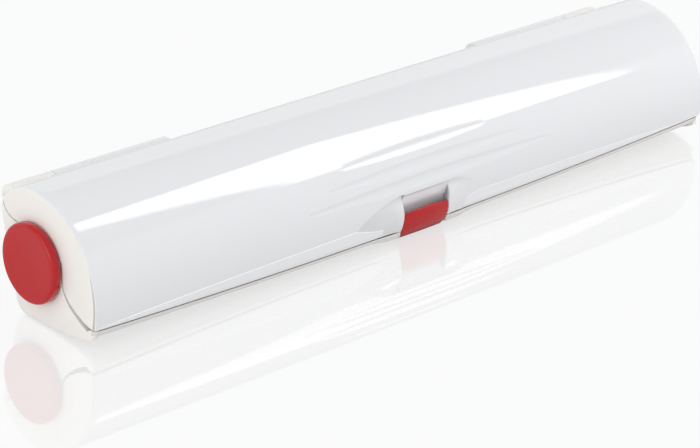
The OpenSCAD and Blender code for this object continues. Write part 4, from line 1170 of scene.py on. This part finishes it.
def build_world():
    """Plain white studio: white for the eye, a level fill, and in reflections a darker ceiling."""
    world = bpy.data.worlds.new("studio")
    bpy.context.scene.world = world
    world.use_nodes = True
    nt = world.node_tree
    new, link = nt.nodes.new, nt.links.new
    fill = nt.nodes["Background"]
    fill.inputs["Color"].default_value = (0.985, 0.99, 1.0, 1)
    fill.inputs["Strength"].default_value = 0.73
    white = new("ShaderNodeBackground")
    white.inputs["Color"].default_value = (1, 1, 1, 1)
    coord = new("ShaderNodeTexCoord")
    split = new("ShaderNodeSeparateXYZ")
    link(coord.outputs["Generated"], split.inputs[0])
    ramp = new("ShaderNodeMapRange")
    ramp.interpolation_type = "SMOOTHSTEP"
    ramp.inputs["From Min"].default_value = 0.55
    ramp.inputs["From Max"].default_value = 0.60
    ramp.inputs["To Min"].default_value = 1.0
    ramp.inputs["To Max"].default_value = 0.38
    link(split.outputs["Z"], ramp.inputs["Value"])
    mirror = new("ShaderNodeBackground")
    mirror.inputs["Color"].default_value = (0.97, 0.985, 1.0, 1)
    link(ramp.outputs["Result"], mirror.inputs["Strength"])
    path = new("ShaderNodeLightPath")
    mix1, mix2 = new("ShaderNodeMixShader"), new("ShaderNodeMixShader")
    link(path.outputs["Is Glossy Ray"], mix1.inputs[0])
    link(fill.outputs[0], mix1.inputs[1])
    link(mirror.outputs[0], mix1.inputs[2])
    link(path.outputs["Is Camera Ray"], mix2.inputs[0])
    link(mix1.outputs[0], mix2.inputs[1])
    link(white.outputs[0], mix2.inputs[2])
    link(mix2.outputs[0], nt.nodes["World Output"].inputs["Surface"])


def build_floor():
    """White floor that mirrors the object faintly and keeps a little of its shadow."""
    me = bpy.data.meshes.new("floor")
    s = 6.0  # half its side, in metres
    me.from_pydata([(-s, -s, 0), (s, -s, 0), (s, s, 0), (-s, s, 0)], [], [(0, 1, 2, 3)])
    floor = bpy.data.objects.new("floor", me)
    bpy.context.scene.collection.objects.link(floor)
    mat = bpy.data.materials.new("floor_white")
    mat.use_nodes = True
    nt = mat.node_tree
    new, link = nt.nodes.new, nt.links.new
    nt.nodes.remove(nt.nodes["Principled BSDF"])
    body = new("ShaderNodeBsdfDiffuse")
    body.inputs["Color"].default_value = (0.82, 0.82, 0.82, 1)
    seen = new("ShaderNodeBsdfDiffuse")
    seen.inputs["Color"].default_value = (0.1, 0.1, 0.1, 1)
    glow = new("ShaderNodeEmission")
    glow.inputs["Color"].default_value = (1, 1, 1, 1)
    glow.inputs["Strength"].default_value = 0.92
    add = new("ShaderNodeAddShader")
    link(seen.outputs[0], add.inputs[0])
    link(glow.outputs[0], add.inputs[1])
    gloss = new("ShaderNodeBsdfGlossy")
    gloss.inputs["Roughness"].default_value = 0.03
    polish = new("ShaderNodeMixShader")
    polish.inputs[0].default_value = 0.24
    link(add.outputs[0], polish.inputs[1])
    link(gloss.outputs[0], polish.inputs[2])
    path = new("ShaderNodeLightPath")
    mix = new("ShaderNodeMixShader")
    link(path.outputs["Is Camera Ray"], mix.inputs[0])
    link(body.outputs[0], mix.inputs[1])
    link(polish.outputs[0], mix.inputs[2])
    link(mix.outputs[0], nt.nodes["Material Output"].inputs["Surface"])
    me.materials.append(mat)


def build_camera():
    """The photograph's camera: where it stands, how it is turned and its focal length."""
    turn, down, roll = (math.radians(v) for v in (44.2, 23.97, 2.32))
    # focal length in pixels of the photograph, the photograph's width and the sensor's in millimetres
    focal, width, sensor = 2867.8, 700, 36
    ahead = Vector((math.sin(turn) * math.cos(down), math.cos(turn) * math.cos(down), -math.sin(down)))
    level = Vector((math.cos(turn), -math.sin(turn), 0))
    up = level.cross(ahead)
    across = level * math.cos(roll) + up * math.sin(roll)
    upright = -level * math.sin(roll) + up * math.cos(roll)
    cam = bpy.data.cameras.new("camera")
    ob = bpy.data.objects.new("camera", cam)
    bpy.context.scene.collection.objects.link(ob)
    m = Matrix((across, upright, -ahead)).transposed().to_4x4()
    m.translation = Vector((-0.8393, -0.8535, 0.5242))
    ob.matrix_world = m
    cam.sensor_width = sensor
    cam.sensor_fit = "HORIZONTAL"
    cam.lens = focal / width * sensor
    cam.clip_start = 0.05
    bpy.context.scene.camera = ob


def build_lights():
    """A long strip far to the right, which the lid mirrors along its length, two fills and a rim light."""
    centre, out = Vector((3.496, -2.016, 3.692)), Vector((0.5725, 0.0138, 0.8198))
    area_light("strip", centre, (0.452, -0.8395, -0.3015), (3.12, 0.965), 4.6, target=centre - out)
    right = area_light("right", (1.0, -0.33, 0.36), (0, -0.7, 0.7), (0.45, 0.35), 6.0,
                       (0.99, 0.995, 1), (0.1, 0, 0.03))
    # mirrored in the right end's rounded edge, it would be a bright spot there
    right.visible_glossy = False
    area_light("left", (-2.2, -0.5, 0.75), (0.25, -1, 0), (1.4, 1.2), 2.5,
               (1, 0.985, 0.96), (-0.15, 0, 0.03))
    area_light("rim", (-1.55, -0.02, 1.78), (0, 0.88, 0.47), (1.0, 0.25), 5.0, target=(-0.19, 0, 0.05))


scene = bpy.context.scene
scene.view_settings.view_transform = "Standard"
scene.view_settings.look = "None"
scene.view_settings.exposure = 0
scene.view_settings.gamma = 1

build_camera()
build_world()
build_floor()
build_lights()
build_lid_shell()
build_ends()
build_tray()
build_barrels()
build_knob(-1, "left")
build_knob(1, "right")
build_button()
build_button_stem()
assign(make_materials())
